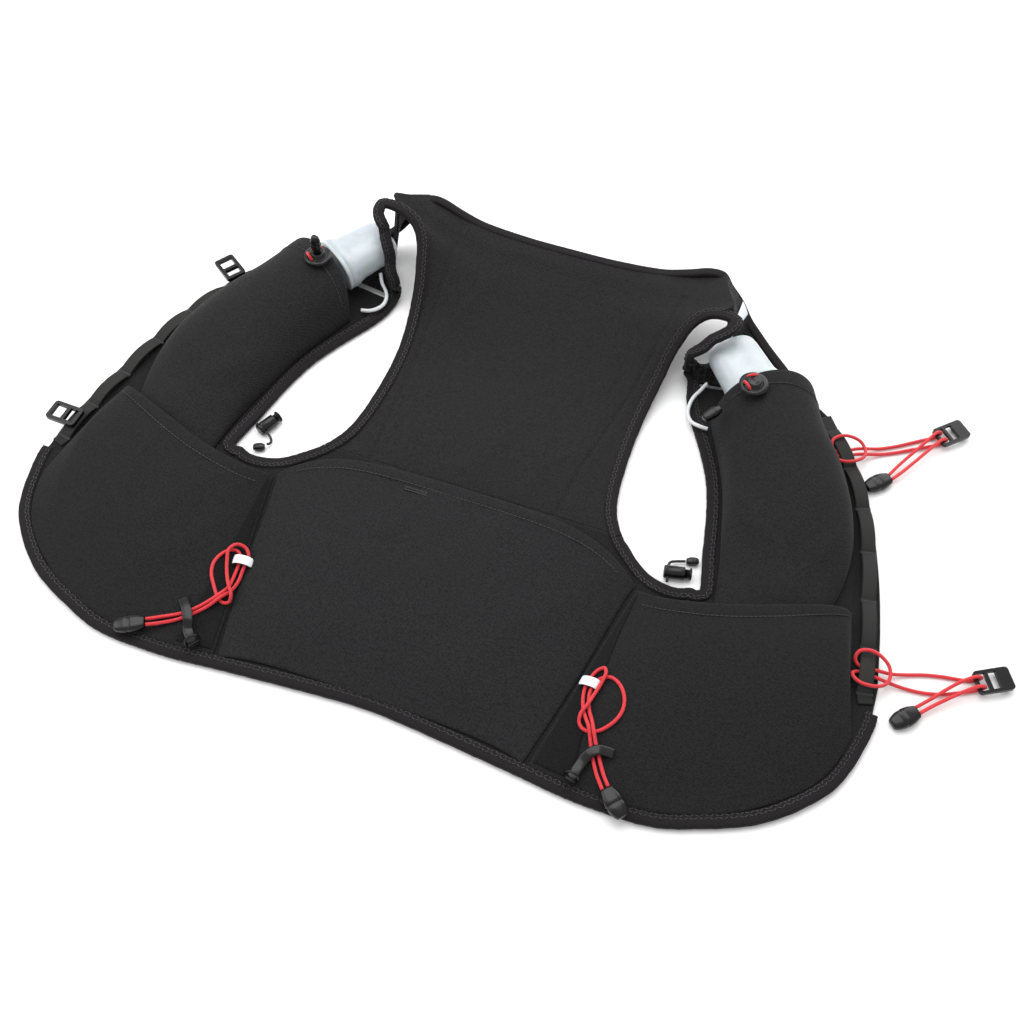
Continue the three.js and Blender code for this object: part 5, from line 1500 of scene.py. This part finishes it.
class VEST_OT_hardware(bpy.types.Operator):
    """Makes the buckles, hooks, cord ends and mouth locks."""

    bl_idname = "vest.hardware"
    bl_label = "Hardware"

    def execute(self, context):
        for node in ("lower_chest_buckle", "upper_chest_buckle", "lower_chest_hook", "upper_chest_hook"):
            piece = node_copy(node, node + "_plate")
            edge = piece.modifiers.new("edge", "BEVEL")
            edge.width = 0.0005
            edge.segments = 3
            edge.limit_method = "ANGLE"
            edge.angle_limit = math.radians(40)
            applied(piece)
            piece.data.polygons.foreach_set("use_smooth", [False] * len(piece.data.polygons))
            stands_for(piece, node, "black_plastic")
        for node, sizes in CORD_ENDS.items():
            stands_for(cord_end(node, *sizes, spot_place(node)), node, "black_plastic")
        lock = spot_place("left_mouth_lock")
        standing = cord_end("left_mouth_cord_end", 16, 8, 7, lambda s, y, z: lock(z - 3.5, y, 6.3 + 8 - s))
        stands_for(standing, "left_mouth_cord_end", "black_plastic")
        for name, _side in SIDES:
            place = spot_place(name + "_mouth_lock")
            disc = turned(name + "_mouth_lock_disc", MOUTH_LOCK, 56, lambda up, x, y: place(x, y, up))
            stands_for(disc, name + "_mouth_lock", "black_plastic")
            for letter, along, side, tip in (("a", 5.6, 2.4, 0.5), ("b", -4.4, 4.6, -0.4)):
                facing = (place(along, side, 3) - place(0, 0, 3 - 6 * tip)).normalized()
                bend = ring_piece(f"{name}_mouth_cord_{letter}", place(along, side, 3.4), facing, 3.4, 1.1)
                rides(bend, "red_cord")
        return {"FINISHED"}


class VEST_OT_side_locks(bpy.types.Operator):
    """Makes the side cord locks and their push buttons."""

    bl_idname = "vest.side_locks"
    bl_label = "Side locks"

    def execute(self, context):
        for name, _side in SIDES:
            place = spot_place(name + "_side_lock")
            for label, profile, node, body in (
                ("_side_lock_barrel", SIDE_LOCK, "_side_lock", "vest"),
                ("_side_lock_push", SIDE_BUTTON, "_side_lock_button", name + "_button"),
            ):
                piece = turned(name + label, profile, 40, place)
                stands_for(piece, name + node, "black_plastic", body)
        return {"FINISHED"}


# Cords


def cord_tube(name, route, diameter, step=0.8):
    """A round tube along a route, with its middle line in the frame's metres and its length."""
    line = Line(route)
    points = line.even(step)
    ring = 14
    verts, uvs = [], []
    up = Vector((0, 0, 1))
    before = (points[1] - points[0]).normalized()
    side = before.cross(up).normalized()
    length = 0.0
    for k, point in enumerate(points):
        ahead = points[min(k + 1, len(points) - 1)]
        behind = points[max(k - 1, 0)]
        run = (ahead - behind).normalized()
        side = before.rotation_difference(run) @ side
        before = run
        lift = run.cross(side)
        if k:
            length += (point - points[k - 1]).length
        for i in range(ring):
            a = 2 * math.pi * i / ring
            offset = side * math.cos(a) + lift * math.sin(a)
            verts.append(point + offset * (diameter / MM / 2))
            uvs.append((i / ring, length))
    piece = finish_mesh(name, verts, tube_faces(len(points), ring), uvs)
    return piece, [metres(p) for p in points], length * MM


class VEST_OT_cords(bpy.types.Operator):
    """Lays the red cords, the pale elastic loops and the side cords."""

    bl_idname = "vest.cords"
    bl_label = "Cords"

    def execute(self, context):
        size = context.scene.vest
        pieces = {
            "lower_chest_cord": ["lower_chest_cord_end_block", "lower_chest_hook_plate"],
            "upper_chest_cord": ["upper_chest_cord_end_block", "upper_chest_hook_plate"],
            "left_pole_cord": ["left_pole_cord_end_block"],
            "right_pole_cord": ["right_pole_cord_end_block"],
        }
        for node, route in ROUTES.items():
            if "loop" in node:
                slot, diameter = "pale_elastic", size.loop_diameter
            elif "side" in node:
                slot, diameter = "black_cord", size.side_diameter
            else:
                slot, diameter = "red_cord", size.cord_diameter
            piece, path, length = cord_tube(node + "_line", route, diameter)
            stands_for(piece, node, slot)
            if "side" in node:
                continue
            ends = [bpy.data.objects[n] for n in pieces.get(node, ())]
            tuple(path[0])
            [tuple(p) for p in path]
        return {"FINISHED"}


# Stage

# The camera's place in the tables' millimetres, its turn and tilt in degrees, its lens in millimetres.
CAMERA = {"x": 203.7, "y": -258, "z": 744.75, "turn": 20.33, "down": 57, "lens": 42.19}
# Each light's name, its place and the place it looks at in metres, its width in metres and its power in watts.
LIGHTS = (
    ("top_light", (-0.35, 0.55, 1.7), (0, 0, 0), 1.6, 26),
    ("left_light", (-1.4, -0.3, 1.1), (0, 0, 0), 1.0, 9),
    ("back_light", (0.5, 1.6, 0.9), (0, 0.1, 0), 1.2, 12),
)
FLOOR_REACH = 4.0
FLOOR_DROP = 0.0002
SKY_STRENGTH = 0.75
SENSOR_WIDTH = 36


class VEST_OT_stage(bpy.types.Operator):
    """Sets the floor, the lights and the camera."""

    bl_idname = "vest.stage"
    bl_label = "Stage"

    def execute(self, context):
        size = context.scene.vest
        scene = context.scene
        mesh = bpy.data.meshes.new("floor")
        corners = [(x * FLOOR_REACH, y * FLOOR_REACH, 0) for x, y in ((-1, -1), (1, -1), (1, 1), (-1, 1))]
        mesh.from_pydata(corners, [], [(0, 1, 2, 3)])
        floor = bpy.data.objects.new("floor", mesh)
        floor.location.z = -FLOOR_DROP
        scene.collection.objects.link(floor)
        paint = bpy.data.materials.new("floor_paint")
        paint.use_nodes = True
        shader = paint.node_tree.nodes["Principled BSDF"]
        shader.inputs["Base Color"].default_value = (*size.floor_colour, 1)
        shader.inputs["Roughness"].default_value = 0.9
        mesh.materials.append(paint)
        world = scene.world or bpy.data.worlds.new("studio")
        scene.world = world
        world.use_nodes = True
        nodes = world.node_tree.nodes
        background = nodes.get("Background") or nodes.new("ShaderNodeBackground")
        background.inputs["Color"].default_value = (1, 1, 1, 1)
        background.inputs["Strength"].default_value = SKY_STRENGTH
        for name, spot, aim, wide, power in LIGHTS:
            data = bpy.data.lights.new(name, "AREA")
            data.size = wide
            data.energy = power
            lamp = bpy.data.objects.new(name, data)
            lamp.location = spot
            lamp.rotation_mode = "QUATERNION"
            lamp.rotation_quaternion = (Vector(aim) - Vector(spot)).to_track_quat("-Z", "Y")
            scene.collection.objects.link(lamp)
        data = bpy.data.cameras.new("camera")
        data.lens = CAMERA["lens"]
        data.sensor_width = SENSOR_WIDTH
        camera = bpy.data.objects.new("camera", data)
        camera.location = metres((CAMERA["x"], CAMERA["y"], CAMERA["z"]))
        turn, down = math.radians(CAMERA["turn"]), math.radians(CAMERA["down"])
        look = Vector((-math.sin(turn) * math.cos(down), math.cos(turn) * math.cos(down), -math.sin(down)))
        camera.rotation_mode = "QUATERNION"
        camera.rotation_quaternion = look.to_track_quat("-Z", "Y")
        scene.collection.objects.link(camera)
        scene.camera = camera
        scene.view_settings.view_transform = "Standard"
        return {"FINISHED"}


class VEST_PT_sidebar(bpy.types.Panel):
    """The vest's sizes and steps."""

    bl_idname = "VEST_PT_sidebar"
    bl_label = "Running vest"
    bl_space_type = "VIEW_3D"
    bl_region_type = "UI"
    bl_category = "Vest"

    def draw(self, context):
        layout = self.layout
        for name in VestSettings.__annotations__:
            layout.prop(context.scene.vest, name)
        for step in STEPS:
            layout.operator(step.bl_idname)


STEPS = (
    VEST_OT_materials,
    VEST_OT_stage,
    VEST_OT_hardware,
    VEST_OT_cords,
    VEST_OT_panels,
    VEST_OT_pockets,
    VEST_OT_bindings,
    VEST_OT_stitches,
    VEST_OT_webbing,
    VEST_OT_trims,
    VEST_OT_flasks,
    VEST_OT_side_locks,
)


def register():
    for part in (VestSettings, *STEPS, VEST_PT_sidebar):
        bpy.utils.register_class(part)
    bpy.types.Scene.vest = bpy.props.PointerProperty(type=VestSettings)


def unregister():
    del bpy.types.Scene.vest
    for part in reversed((VestSettings, *STEPS, VEST_PT_sidebar)):
        bpy.utils.unregister_class(part)


def main():
    register()
    for step in STEPS:
        group, call = step.bl_idname.split(".")
        getattr(getattr(bpy.ops, group), call)()
    bpy.context.view_layer.update()


if __name__ == "__main__":
    main()
